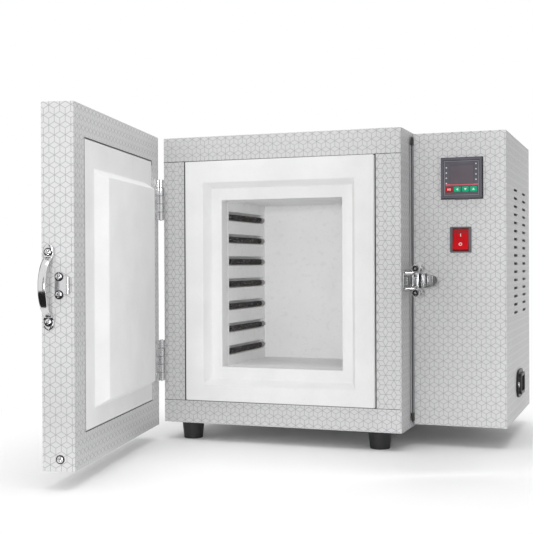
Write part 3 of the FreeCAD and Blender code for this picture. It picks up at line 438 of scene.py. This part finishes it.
SHEET = patterned_sheet("patterned_sheet", (0.69, 0.69, 0.695), (0.37, 0.37, 0.38))
WHITE_FIBRE = fibre("white_fibre_plate", (0.86, 0.86, 0.86))
# The lining is a lighter copy of the white fibre: its own specks and blots, and painted light that brightens
# the deep chamber.
BRIGHTENED_LINING = fibre("chamber_fibre_painted_light", (0.98, 0.98, 0.98), speck=0.9, tone=0.04, blots=0.14)
BOARD = fibre("insulation_board", (0.83, 0.80, 0.74), speck=1.0)
WIRE_BARE_FROM = 0.164
WIRE = scaled_wire("heating_wire", WIRE_BARE_FROM)
CHROME = plated("bright_chrome", (0.72, 0.72, 0.73), 0.14)
STEEL = plated("zinc_steel", (0.58, 0.58, 0.59), 0.30)
BUTT_STEEL = plated("hinge_steel", (0.80, 0.80, 0.81), 0.20)
# A darker copy of the bright chrome, for the latch grip: painted dark reflection of the shaded control box
# front.
SHADED_CHROME = plated("latch_chrome_painted_dark", (0.46, 0.46, 0.47), 0.14)
# Dark steel for the spacer rails: painted shade of the gap between body and control box.
SHADED_RAIL = plated("rail_steel_painted_shade", (0.34, 0.34, 0.35), 0.50)
# Black rubber for the feet and cable bush, and also the black of the painted shade strips and rings.
RUBBER_AND_SHADE = moulded("black_rubber", (0.014, 0.014, 0.015), 0.60, 900.0, 0.3)
# Black plastic, and also the black of the painted shade discs and rings.
BLACK = moulded("black_plastic", (0.012, 0.012, 0.013), 0.36, shine=0.25)
BEZEL_GREY = moulded("bezel_plastic", (0.10, 0.095, 0.115), 0.40)
SWITCH_GREY = moulded("switch_plastic", (0.11, 0.115, 0.125), 0.42)
WINDOW = moulded("smoked_window", (0.15, 0.13, 0.15), 0.16, 200.0, 0.01)
# A darker copy of the key's red, for the rocker's ridges: painted shade.
SHADED_RED = moulded("red_key_painted_shade", (0.30, 0.0, 0.006), 0.40, 300.0, 0.03)
RED = moulded("red_key", (0.62, 0.006, 0.012), 0.30, 300.0, 0.03, shine=0.15)
GREEN = moulded("green_key", (0.0, 0.47, 0.23), 0.34, 300.0, 0.03, shine=0.2)
WHITE_INK = moulded("white_ink", (0.86, 0.86, 0.86), 0.5, 300.0, 0.03)
PINK_INK = moulded("pink_ink", (0.75, 0.10, 0.16), 0.45, 300.0, 0.03)
GREY_INK = moulded("grey_ink", (0.33, 0.32, 0.37), 0.5, 300.0, 0.03)
ALUMINIUM = plated("extruded_aluminium", (0.78, 0.79, 0.80), 0.38)
LACQUER = moulded("board_lacquer", (0.02, 0.20, 0.09), 0.3, 300.0, 0.05)
BRASS = plated("brass_pins", (0.80, 0.63, 0.34), 0.25)


JOIN_GAP, FLAT_ANGLE, EASED_ANGLE = 2e-6, 0.6, 40


def eased(name, node, body, mat, width, on_the_door=False, turned=False, segments=2):
    """A copy of a solid's own faces, merged, with its edges rounded as bent or moulded edges are.
    Each face takes its two in-plane coordinates, in millimetres, as its place on the UV map."""
    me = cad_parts[node].data.copy()
    me.name = name
    me.materials.clear()
    bm = bmesh.new()
    bm.from_mesh(me)
    bmesh.ops.remove_doubles(bm, verts=bm.verts, dist=JOIN_GAP)
    bmesh.ops.dissolve_limit(bm, angle_limit=np.radians(FLAT_ANGLE), verts=bm.verts, edges=bm.edges)
    bm.to_mesh(me)
    bm.free()
    while me.uv_layers:
        me.uv_layers.remove(me.uv_layers[0])
    co = np.empty(len(me.vertices) * 3)
    me.vertices.foreach_get("co", co)
    co = co.reshape(-1, 3) / MM - CORNER
    normal = np.empty(len(me.polygons) * 3)
    me.polygons.foreach_get("normal", normal)
    normal = normal.reshape(-1, 3)
    ex, ey = (DOOR_ALONG, DOOR_ACROSS) if on_the_door else (np.array([1.0, 0, 0]), np.array([0, 1.0, 0]))
    if on_the_door:
        co = co - np.array([HINGE[0], HINGE[1], 0])
    local = np.stack([co @ ex, co @ ey, co[:, 2]], 1)
    ln = np.abs(np.stack([normal @ ex, normal @ ey, normal[:, 2]], 1))
    facing = ln.argmax(1)
    per_face = np.empty(len(me.polygons), int)
    me.polygons.foreach_get("loop_total", per_face)
    loops = np.repeat(facing, per_face)
    corner = np.empty(len(me.loops), int)
    me.loops.foreach_get("vertex_index", corner)
    p = local[corner]
    first = np.where(loops == 0, p[:, 1], p[:, 0])
    second = np.where(loops == 2, p[:, 1], p[:, 2])
    uv = np.stack([second, first] if turned else [first, second], 1)
    me.uv_layers.new(name="sheet")
    me.uv_layers["sheet"].data.foreach_set("uv", uv.ravel())
    ob = piece(name, me, body, mat, (node,), 30.0)
    mod = ob.modifiers.new("eased_edges", "BEVEL")
    mod.width = width * MM
    mod.segments = segments
    mod.limit_method = "ANGLE"
    mod.angle_limit = np.radians(EASED_ANGLE)
    mod.harden_normals = False


BODY = "furnace_body"
for name, node, width, turned in (
        ("body_casing", "outer_casing", 0.5, False), ("body_floor", "base_plate", 0.3, False),
        ("strip_top", "front_strip_top", 0.35, False), ("strip_bottom", "front_strip_bottom", 0.35, False),
        ("strip_left", "front_strip_left", 0.35, True), ("strip_right", "front_strip_right", 0.35, True),
        ("body_rear_cover", "rear_cover", 0.3, False), ("control_box", "control_casing", 0.5, False),
        ("control_box_rear", "control_rear_cover", 0.3, False)):
    eased(name, node, BODY, SHEET, width, False, turned)
for name, node, width in (("door_pan", "door_shell", 0.5), ("door_frame", "door_inner_frame", 0.4)):
    eased(name, node, "door", SHEET, width, True)
for name, node, mat, width in (
        ("mouth_surround", "mouth_plate", WHITE_FIBRE, 1.2),
        ("lining_top", "muffle_top", BRIGHTENED_LINING, 0.5), ("lining_bottom", "muffle_bottom", BRIGHTENED_LINING, 0.5),
        ("lining_left", "muffle_left", BRIGHTENED_LINING, 0.4), ("lining_right", "muffle_right", BRIGHTENED_LINING, 0.4),
        ("lining_rear", "muffle_rear", BRIGHTENED_LINING, 0.5)):
    eased(name, node, BODY, mat, width)
eased("door_plug_plate", "door_plate", "door", WHITE_FIBRE, 1.2, True)
for name, node, mat, slot, width in (
        ("latch_plate", "latch_base", CHROME, "chrome", 0.25),
        ("latch_axle", "latch_pivot_pin", CHROME, "chrome", 0.2),
        ("box_spacers", "spacer_rails", SHADED_RAIL, "steel", 0.3),
        ("rubber_feet", "feet", RUBBER_AND_SHADE, "black_rubber", 0.6),
        ("panel_bezel", "controller_bezel", BEZEL_GREY, "black_plastic", 0.35),
        ("panel_face", "controller_face", BEZEL_GREY, "black_plastic", 0.1),
        ("panel_window", "controller_window", WINDOW, "dark_window", 0.1),
        ("switch_housing", "rocker_housing", SWITCH_GREY, "grey_plastic", 0.35),
        ("inlet_moulding", "inlet_housing", BLACK, "black_plastic", 0.4),
        ("inlet_blades", "inlet_pins", BRASS, "brass", 0.4),
        ("wall_leaves", "hinge_wall_leaves", BUTT_STEEL, "steel", 0.2),
        ("hinge_rods", "hinge_pins", BUTT_STEEL, "steel", 0.3)):
    eased(name, node, BODY, mat, width)
for name, node, mat, slot, width in (
        ("strike_plate", "latch_keeper", CHROME, "chrome", 0.25),
        ("door_leaves", "hinge_door_leaves", BUTT_STEEL, "steel", 0.2)):
    eased(name, node, "door", mat, width, True)
eased("latch_grip", "latch_lever", "lever", SHADED_CHROME, 0.35)
for name, node in (("latch_loop", "latch_hook"), ("latch_collars", "latch_yoke")):
    eased(name, node, "hook", CHROME, 0.3)
eased("switch_key", "rocker", "rocker_key", RED, 0.4)
for node, mat, slot in (("button_set", RED, "red_plastic"), ("button_left", GREEN, "green_plastic"),
                        ("button_down", GREEN, "green_plastic"), ("button_up", GREEN, "green_plastic")):
    key = node[len("button_"):]
    eased("key_" + key, node, key + "_key", mat, 0.3)

plain = {"insulation_rear": BOARD, "insulation_walls": BOARD, "door_insulation": BOARD,
         "thermocouple": STEEL, "controller_case": BLACK, "controller_board": LACQUER,
         "heat_sink": ALUMINIUM, "solid_state_relay": BLACK, "terminal_block": BLACK,
         "cable_bush": RUBBER_AND_SHADE, "foot_screws": STEEL, "inlet_screws": STEEL}
for node, mat in plain.items():
    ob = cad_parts[node]
    ob.data.materials.clear()
    ob.data.materials.append(mat)


BACKWARD, RIGHT, UPWARD, FORWARD = (0, 1.0, 0), (1.0, 0, 0), (0, 0, 1.0), (0, -1.0, 0)
COIL_FRONT, COIL_BACK, COIL_R, WIRE_R, COIL_TURNS = 36.0, 157.0, 3.1, 0.72, 40
COIL_SINK, GROOVE_DROP, PHASE_STEP = 0.6, 1.1, 0.7
CHAMBER_Z, CHAMBER_HALF, MID_X, COIL_PITCH, COIL_COUNT = 174.0, 78.0, 152.5, 28.4, 7


def heating_coil(side):
    """Seven wire helices lying in the side slab's grooves, each a bit further turned than the last."""
    x = MID_X + side * (CHAMBER_HALF + COIL_SINK)
    parts = []
    for i in range(COIL_COUNT):
        z = CHAMBER_Z + (i - (COIL_COUNT - 1) / 2) * COIL_PITCH - GROOVE_DROP
        line = helix((x, COIL_FRONT, z), BACKWARD, COIL_BACK - COIL_FRONT, COIL_R, COIL_TURNS, 10,
                     PHASE_STEP * i)
        parts.append(tube_along(line, WIRE_R, 6))
    return parts


for side, name in ((-1, "left"), (1, "right")):
    put("coil_bank_" + name, heating_coil(side), BODY, WIRE, ("heating_coil_" + name,), 80)

# The latch's two springs and, as black discs, painted shade in the hollows of their cups, which open to the
# front.
LATCH_Z, HOOK_X, HOOK_Y, SPRING_OFF = 178.0, 321.2, 20.0, 14.0
SPRING_START, SPRING_LONG, SPRING_R, SPRING_WIRE_R, SPRING_TURNS = 3.2, 8.6, 3.3, 0.7, 5
CUP_R, CUP_Y, CUP_THICK = 3.45, 5.02, 0.12
springs, hollows = [], []
for way in (-1, 1):
    z = LATCH_Z + way * SPRING_OFF
    line = helix((HOOK_X, HOOK_Y + SPRING_START, z), BACKWARD, SPRING_LONG, SPRING_R, SPRING_TURNS, 20)
    springs.append(tube_along(line, SPRING_WIRE_R, 10))
    hollows.append(flat_prism(disc(0, 0, CUP_R, 28), (HOOK_X, CUP_Y, z), RIGHT, UPWARD, FORWARD, CUP_THICK))
put("latch_coil_springs", springs, "hook", STEEL, ("latch_springs",), 80)
put("cup_hollow_shade", hollows, "hook", BLACK)

HANDLE_Y, HANDLE_Z, DOOR_FREE_X = -30.6, 176.5, 306.5
HANDLE_HALF, EAR_R, STRAP_W, EAR_OUT = 42.15, 5.5, 8.2, 1.1
FLAT_BACK, BLEND_FROM, BLEND_LONG = 1.0, 31.5, 4.5
OUTER_K, INNER_K, STRAP_AROUND = 1.3, 0.9, 24
HANDLE_PATH = [(EAR_OUT, 42.15), (EAR_OUT, 38.0), (EAR_OUT, 34.0), (1.15, 31.4), (2.0, 28.9), (4.8, 26.9),
               (8.8, 24.3), (12.6, 20.3), (15.8, 15.0), (18.1, 8.4), (19.0, 3.0)]


def bow_handle():
    """Pressed bow handle: along a smooth (out, up) path each ring is
    path + w * cos(a)^0.6 * across + k * sin(a)^0.85 * outward, with w the half width, which ends in
    half rounds, and k OUTER_K outside and INNER_K inside."""
    pts = np.array(HANDLE_PATH + [(x, -z) for x, z in reversed(HANDLE_PATH)])
    line = smooth_path(pts, 8)
    line = line[np.abs(line[:, 1]) < HANDLE_HALF - EAR_R]
    q = np.radians([0, 6, 14, 24, 36, 48, 60, 72, 82, 90])
    ear = np.stack([np.full(len(q), EAR_OUT), HANDLE_HALF - EAR_R * (1 - np.cos(q))], 1)
    line = np.vstack([ear, line, ear[::-1] * (1, -1)])
    t = np.gradient(line, axis=0)
    t /= np.linalg.norm(t, axis=1, keepdims=True)
    out = np.stack([-t[:, 1], t[:, 0]], 1)
    out[np.abs(line[:, 1]) > HANDLE_HALF - EAR_R - FLAT_BACK] = (1.0, 0.0)
    z = np.abs(line[:, 1])
    blend = np.clip((BLEND_FROM - z) / BLEND_LONG, 0, 1)
    w = EAR_R + (STRAP_W / 2 - EAR_R) * blend * blend * (3 - 2 * blend)
    near = np.clip((HANDLE_HALF - z) / EAR_R, 0, 1)
    w = np.where(z > HANDLE_HALF - EAR_R, EAR_R * np.sqrt(np.clip(1 - (1 - near) ** 2, 1e-5, 1)), w)
    m = STRAP_AROUND
    a = np.linspace(0, 2 * np.pi, m, endpoint=False)
    ca = np.sign(np.cos(a)) * np.abs(np.cos(a)) ** 0.6
    sa = np.sign(np.sin(a)) * np.abs(np.sin(a)) ** 0.85
    lift = np.where(sa > 0, OUTER_K, INNER_K) * sa
    ring = np.empty((len(line), m, 3))
    ring[..., 0] = line[:, None, 0] + out[:, None, 0] * lift
    ring[..., 1] = w[:, None] * ca
    ring[..., 2] = line[:, None, 1] + out[:, None, 1] * lift
    n = len(line)
    k = np.arange(m)
    k2 = (k + 1) % m
    verts = np.vstack([ring.reshape(-1, 3), ring[0].mean(0), ring[-1].mean(0)])
    caps = np.concatenate([np.stack([np.full(m, n * m), k2, k], 1),
                           np.stack([np.full(m, n * m + 1), (n - 1) * m + k, (n - 1) * m + k2], 1)])
    return verts + np.array([DOOR_FREE_X, HANDLE_Y, HANDLE_Z]), grid_quads(n, m, wrap_cols=True), caps


put("bow_handle", [bow_handle()], "door", CHROME, ("door_handle",), 50, on_door)

# Each row of SCREW_SETS is one piece: its name, the CAD node it stands for, its body, the heads'
# height, their material, how they are placed, and the seat and outward direction of each head.
HINGE_SCREW_Z = (60.0, 77.4, 94.8, 262.2, 279.6, 297.0)
HEAD_R, FIRST_TURN, NEXT_TURN = 3.3, 0.4, 0.7
LEFT = (-1, 0, 0)
SCREW_SETS = (
    ("edge_screw_heads", "door_edge_screws", "door", 1.6, CHROME, on_door,
     [((306.5, -20.0, 8.5), RIGHT), ((0.0, -20.0, 8.5), LEFT)]
     + [((308.7, -30.6, z), RIGHT) for z in (142.4, 210.6)]
     + [((307.7, -20.0, z), RIGHT) for z in (169.25, 186.75)]),
    ("door_leaf_screw_heads", "hinge_door_screws", "door", 1.6, STEEL, on_door,
     [((14.5, -4.1, z), BACKWARD) for z in HINGE_SCREW_Z]),
    ("side_screw_heads", "side_screws", BODY, 1.6, CHROME, np.asarray,
     [((-0.9, 12.5, z), LEFT) for z in HINGE_SCREW_Z]
     + [((306.4, y, 178.0), RIGHT) for y in (29.0, 39.2)]),
    ("rear_screw_heads", "cover_screws", BODY, 2.1, STEEL, np.asarray,
     [((x, 290.3, z), BACKWARD) for x in (10.0, 295.0) for z in (10.0, 347.0)]
     + [((x, 290.3, z), BACKWARD) for x in (318.2, 407.9) for z in (13.5, 344.8)]))
for name, node, body, height, mat, place, seats in SCREW_SETS:
    heads = [screw_head(seat, d, HEAD_R, height, FIRST_TURN + NEXT_TURN * i)
             for i, (seat, d) in enumerate(seats)]
    put(name, heads, body, mat, (node,), 50, place)
# Black rings under the door edge's screw heads: painted shade round each head.
SHADE_RING = [(-0.1, 0), (-0.1, 4.4), (0.3, 4.4), (0.3, 0)]
shade_rings = [lathe(SHADE_RING, seat, d, 28) for seat, d in SCREW_SETS[0][6]]
put("edge_screw_shade_rings", shade_rings, "door", BLACK, place=on_door)

PANEL_X, PANEL_Z, PANEL_Y = 366.2, 299.5, 51.3
INK = 0.08


def printed(name, outlines, y, body, mat):
    """Flat ink shapes on a face that looks forward, each outline about the controller's middle."""
    parts = [flat_prism(o, (PANEL_X, y, PANEL_Z), RIGHT, UPWARD, FORWARD, INK) for o in outlines]
    put(name, parts, body, mat)


FRAME_LINE = ((0, 20.2, 41, 0.5), (0, -20.2, 41, 0.5), (-20.2, 0, 0.5, 40), (20.2, 0, 0.5, 40))
DOT_R, DOT_PITCH, DOTS = 0.75, 6.2, 4
printed("face_frame_line", [bar(*b) for b in FRAME_LINE], PANEL_Y, BODY, GREY_INK)
printed("face_red_line", [bar(0.5, -7.8, 38.5, 1.6)], PANEL_Y, BODY, PINK_INK)
for name, u, top in (("face_left_dots", -17.8, 12.6), ("face_right_dots", 17.3, 16.6)):
    dots = [disc(u, top - DOT_PITCH * i, DOT_R) for i in range(DOTS)]
    printed(name, dots, PANEL_Y, BODY, WHITE_INK)

KEY_Y, KEY_Z, KEY_PITCH = 50.4, -13.4, 9.6
arrow = np.array([[-1.5, 0.0], [1.1, -1.6], [1.1, 1.6]])
KEY_SHAPES = (("set", [bar(u, 0, 0.7, 2.4) for u in (-1.4, 0, 1.4)]),
              ("left", [arrow]),
              ("down", [np.stack([arrow[:, 1], arrow[:, 0]], 1)]),
              ("up", [np.stack([arrow[:, 1], -arrow[:, 0]], 1)]))
for i, (name, shapes) in enumerate(KEY_SHAPES):
    shift = np.array([(i - 1.5) * KEY_PITCH, KEY_Z])
    printed("mark_" + name, [s + shift for s in shapes], KEY_Y, name + "_key", WHITE_INK)

# The rocker's two faces lean as it stands at rest: each by ROCKER_SLOPE, then both by ROCKER_TILT.
ROCKER, ROCKER_FRONT_Y = np.array([364.7, 57.1, 226.3]), 53.7
ROCKER_TILT = np.radians(-8.0)
ROCKER_SLOPE = np.arctan2(2.1, np.sqrt(13.2 ** 2 - 5.5 ** 2))
RIDGE_RISES, RIDGE_THICK = (7.9, 9.6, 11.3), 0.5
RING_LOW, RING_OUT_R, RING_IN_R = -6.2, 2.0, 1.2


def leaned(points):
    """Points turned by ROCKER_TILT about the rocker's pivot line, which runs across."""
    r = points - ROCKER
    c, s = np.cos(ROCKER_TILT), np.sin(ROCKER_TILT)
    return ROCKER + np.stack([r[:, 0], r[:, 1] * c - r[:, 2] * s, r[:, 1] * s + r[:, 2] * c], 1)


def rocker_marks():
    """A bar and, above it, three ridges on the upper face, and a ring on the lower face."""
    def face(sign):
        """Directions along and out of the upper face, sign 1, or the lower one, sign -1."""
        c, s = np.cos(ROCKER_SLOPE), np.sin(ROCKER_SLOPE) * sign
        return np.array([0, -s, c]), np.array([0, -c, -s])

    middle = np.array([ROCKER[0], ROCKER_FRONT_Y, ROCKER[2]])
    along, out = face(1)
    marks = [flat_prism(bar(0, 5.0, 0.9, 3.4), middle, RIGHT, along, out, INK)]
    ridges = [flat_prism(bar(0, rise, 14.6, 0.8), middle, RIGHT, along, out, RIDGE_THICK)
              for rise in RIDGE_RISES]
    along, out = face(-1)
    ring_out, ring_in = disc(0, RING_LOW, RING_OUT_R, 28), disc(0, RING_LOW, RING_IN_R, 28)
    loops = [middle + o[:, 0:1] * np.array(RIGHT) + o[:, 1:2] * along + out * lift
             for o, lift in ((ring_out, 0.0), (ring_out, INK), (ring_in, INK), (ring_in, 0.0))]
    marks.append((np.vstack(loops), grid_quads(4, len(ring_out), wrap_rows=True, wrap_cols=True), NO_TRIS))
    return marks, ridges


# The ridges take the darker red: painted shade that makes them show.
for name, parts, mat in zip(("switch_marks", "switch_ridges"), rocker_marks(), (WHITE_INK, SHADED_RED)):
    put(name, parts, "rocker_key", mat, place=leaned)

SEAM_PROUD = 0.14


def seam_lines(name, bars, y, outward, place, body):
    """Dark shadow gaps: thin bars on the plane y, each (across, up, width, height), SEAM_PROUD proud."""
    parts = [flat_prism(bar(*b), (0, y, 0), RIGHT, UPWARD, outward, SEAM_PROUD) for b in bars]
    put(name, parts, body, RUBBER_AND_SHADE, place=place)


MOUTH_GAP = ((29.75, 177.4, 3.1, 299.2), (274.2, 177.4, 1.0, 299.2), (152.5, 326.5, 242.4, 1.0),
             (152.5, 28.3, 242.4, 1.0), (14.1, 327.0, 28.2, 0.6), (289.85, 327.0, 30.3, 0.45),
             (14.1, 27.8, 28.2, 0.45), (289.85, 27.8, 30.3, 0.45))
PLATE_GAP = ((29.3, 322.9, 1.5, 5.4), (152.5, 325.9, 244.8, 0.8), (152.5, 30.8, 244.8, 0.6),
             (275.2, 178.3, 0.5, 294.0))
# Dark line round the controller's bezel: painted shade at the bezel's edge.
BEZEL_SHADE_LINE = ((341.75, 299.5, 1.2, 47.8), (390.75, 299.5, 1.4, 47.8), (366.2, 324.0, 50.2, 1.2),
          (366.2, 275.0, 50.2, 1.2))
seam_lines("mouth_seams", MOUTH_GAP, 0.02, FORWARD, np.asarray, BODY)
seam_lines("controller_shade_line", BEZEL_SHADE_LINE, 55.12, FORWARD, np.asarray, BODY)
seam_lines("plate_seams", PLATE_GAP, -5.02, BACKWARD, on_door, "door")

# Knuckle gaps of the two hinges: thin dark rings round the pins, four to a hinge, painted shade in the gaps
# between the knuckles.
KNUCKLE_GAP = [(0, 0), (0, 3.06), (0.5, 3.06), (0.5, 0)]
HINGE_FEET, KNUCKLE, KNUCKLE_GAPS = (52.0, 254.2), 10.16, 4
rings = [lathe(KNUCKLE_GAP, (*HINGE, foot + KNUCKLE * (k + 1) - 0.25), UP, 24)
         for foot in HINGE_FEET for k in range(KNUCKLE_GAPS)]
put("knuckle_gap_shade", rings, BODY, RUBBER_AND_SHADE)

# Black strip that fills the gap beside the front spacer: painted shade of the gap between body and control
# box.
STRIP_FACE, STRIP_Y, STRIP_DEEP = (307.65, 178.85, 1.0, 342.0), 56.5, 11.2
strip = flat_prism(bar(*STRIP_FACE), (0, STRIP_Y, 0), RIGHT, UPWARD, FORWARD, STRIP_DEEP)
put("gap_shade_strip", [strip], BODY, RUBBER_AND_SHADE)


FLOOR_HALF, FLOOR_WHITE = 6, (0.97, 0.97, 0.97, 1)
PLAIN_FROM, PLAIN_AT = 0.24, 0.56


def stage():
    """White floor that turns to plain white away from the furnace, where only the camera and
    glossy rays see it so: the distance from the middle picks between the two."""
    h = FLOOR_HALF
    me = mesh_from_arrays("floor", [(-h, -h, 0), (h, -h, 0), (h, h, 0), (-h, h, 0)], [[0, 1, 2, 3]])
    ob = bpy.data.objects.new("studio_floor", me)
    bpy.context.scene.collection.objects.link(ob)
    mat = bpy.data.materials.new("studio_white")
    mat.use_nodes = True
    tree = mat.node_tree
    tree.nodes.clear()
    out = tree.nodes.new("ShaderNodeOutputMaterial")
    matte = tree.nodes.new("ShaderNodeBsdfDiffuse")
    matte.inputs["Color"].default_value = FLOOR_WHITE
    glow = tree.nodes.new("ShaderNodeEmission")
    glow.inputs["Color"].default_value = (1, 1, 1, 1)
    path = tree.nodes.new("ShaderNodeLightPath")
    seen = maths(tree, "MAXIMUM", path.outputs["Is Camera Ray"],
                 maths(tree, "MAXIMUM", path.outputs["Is Glossy Ray"], path.outputs["Is Transmission Ray"]))
    co = tree.nodes.new("ShaderNodeTexCoord")
    length = tree.nodes.new("ShaderNodeVectorMath")
    length.operation = "LENGTH"
    tree.links.new(co.outputs["Object"], length.inputs[0])
    far = tree.nodes.new("ShaderNodeMapRange")
    far.interpolation_type = "SMOOTHSTEP"
    far.inputs["From Min"].default_value = PLAIN_FROM
    far.inputs["From Max"].default_value = PLAIN_AT
    tree.links.new(length.outputs["Value"], far.inputs["Value"])
    pick = maths(tree, "MULTIPLY", far.outputs[0], seen)
    both = tree.nodes.new("ShaderNodeMixShader")
    tree.links.new(pick, both.inputs[0])
    tree.links.new(matte.outputs[0], both.inputs[1])
    tree.links.new(glow.outputs[0], both.inputs[2])
    tree.links.new(both.outputs[0], out.inputs[0])
    me.materials.append(mat)


def area_light(name, place, aim, size, power):
    """Square soft light at a place, turned to aim at a point."""
    data = bpy.data.lights.new(name, "AREA")
    data.size = size
    data.energy = power
    ob = bpy.data.objects.new(name, data)
    back = np.asarray(place, float) - np.asarray(aim, float)
    back /= np.linalg.norm(back)
    side = np.cross(UP, back)
    side /= np.linalg.norm(side)
    over = np.cross(back, side)
    ob.matrix_world = Matrix(np.vstack([np.column_stack([side, over, back, place]), [0, 0, 0, 1]]).tolist())
    bpy.context.scene.collection.objects.link(ob)


def world_light(level):
    """White at strength 1 where the camera, metal or glass sees it; elsewhere an even grey light."""
    world = bpy.data.worlds.new("studio")
    bpy.context.scene.world = world
    world.use_nodes = True
    tree = world.node_tree
    tree.nodes.clear()
    out = tree.nodes.new("ShaderNodeOutputWorld")
    path = tree.nodes.new("ShaderNodeLightPath")
    seen = maths(tree, "MAXIMUM", path.outputs["Is Camera Ray"],
                 maths(tree, "MAXIMUM", path.outputs["Is Glossy Ray"], path.outputs["Is Transmission Ray"]))
    white = tree.nodes.new("ShaderNodeBackground")
    white.inputs["Color"].default_value = (1, 1, 1, 1)
    room = tree.nodes.new("ShaderNodeBackground")
    room.inputs["Color"].default_value = (1, 1, 1, 1)
    room.inputs["Strength"].default_value = level
    both = tree.nodes.new("ShaderNodeMixShader")
    tree.links.new(seen, both.inputs[0])
    tree.links.new(room.outputs[0], both.inputs[1])
    tree.links.new(white.outputs[0], both.inputs[2])
    tree.links.new(both.outputs[0], out.inputs[0])


CARD_BLACK = (0.02, 0.02, 0.02, 1)


def dark_card(name, centre, across, upward, width, height, shades=False):
    """Black studio card, a flat width by height panel along across and upward. Metal shows it; if it
    shades, it takes soft light away as well."""
    c, a, u = (np.asarray(v, float) for v in (centre, across, upward))
    a, u = a / np.linalg.norm(a) * width / 2, u / np.linalg.norm(u) * height / 2
    me = mesh_from_arrays(name, [c - a - u, c + a - u, c + a + u, c - a + u], [[0, 1, 2, 3]])
    mat = bpy.data.materials.new(name)
    mat.use_nodes = True
    shader = mat.node_tree.nodes["Principled BSDF"]
    shader.inputs["Base Color"].default_value = CARD_BLACK
    shader.inputs["Specular IOR Level"].default_value = 0.0
    me.materials.append(mat)
    ob = bpy.data.objects.new(name, me)
    bpy.context.scene.collection.objects.link(ob)
    ob.visible_camera = False
    ob.visible_diffuse = shades
    ob.visible_transmission = False
    ob.visible_shadow = False


VIEW_TURNS, VIEW_PLACE = (20.374, 0.171, -0.245), (580.8, -1192.6, 198.4)
LENS, SENSOR = 70.40, 36.0


def camera():
    """The photograph's viewpoint: VIEW_TURNS gives how far it looks to the left and down, and its
    roll, in degrees; VIEW_PLACE is in the drawing's millimetres."""
    yaw, pitch, roll = np.radians(VIEW_TURNS)
    look = np.array([-np.sin(yaw) * np.cos(pitch), np.cos(yaw) * np.cos(pitch), -np.sin(pitch)])
    right = np.array([np.cos(yaw), np.sin(yaw), 0])
    over = np.cross(right, look)
    r = np.cos(roll) * right + np.sin(roll) * over
    u = -np.sin(roll) * right + np.cos(roll) * over
    place = here(VIEW_PLACE)
    data = bpy.data.cameras.new("photo_view")
    data.lens = LENS
    data.sensor_width = SENSOR
    ob = bpy.data.objects.new("photo_view", data)
    ob.matrix_world = Matrix(np.vstack([np.column_stack([r, u, -look, place]), [0, 0, 0, 1]]).tolist())
    bpy.context.scene.collection.objects.link(ob)
    bpy.context.scene.camera = ob


stage()
dark_card("floor_card", (-0.2, -0.83, 0.012), (1, 0, 0), (0, 1, 0), 1.6, 0.90)
dark_card("middle_card", (-0.165, -1.3, 0.35), (1, 0.1, 0), (0, 0, 1), 0.16, 0.9)
dark_card("left_card", (-0.85, 0.1, 0.40), (0, 1, 0), (0, 0, 1), 1.2, 0.9)
dark_card("right_card", (0.66, 0.22, 0.52), (0, 1, 0), (0, 0, 1), 0.60, 0.80, shades=True)
dark_card("gap_card", (0.175, -0.10, 0.26), (1, 0.5, 0), (0, 0, 1), 0.10, 0.44, shades=True)
ROOM_LEVEL = 0.83
world_light(ROOM_LEVEL)
area_light("front_key", (0.55, -2.95, 0.35), (0.0, 0.0, 0.2), 0.3, 20)
area_light("top_soft", (0.1, 0.0, 1.9), (0, 0, 0.1), 1.4, 14)
camera()
bpy.context.scene.view_settings.view_transform = "Standard"
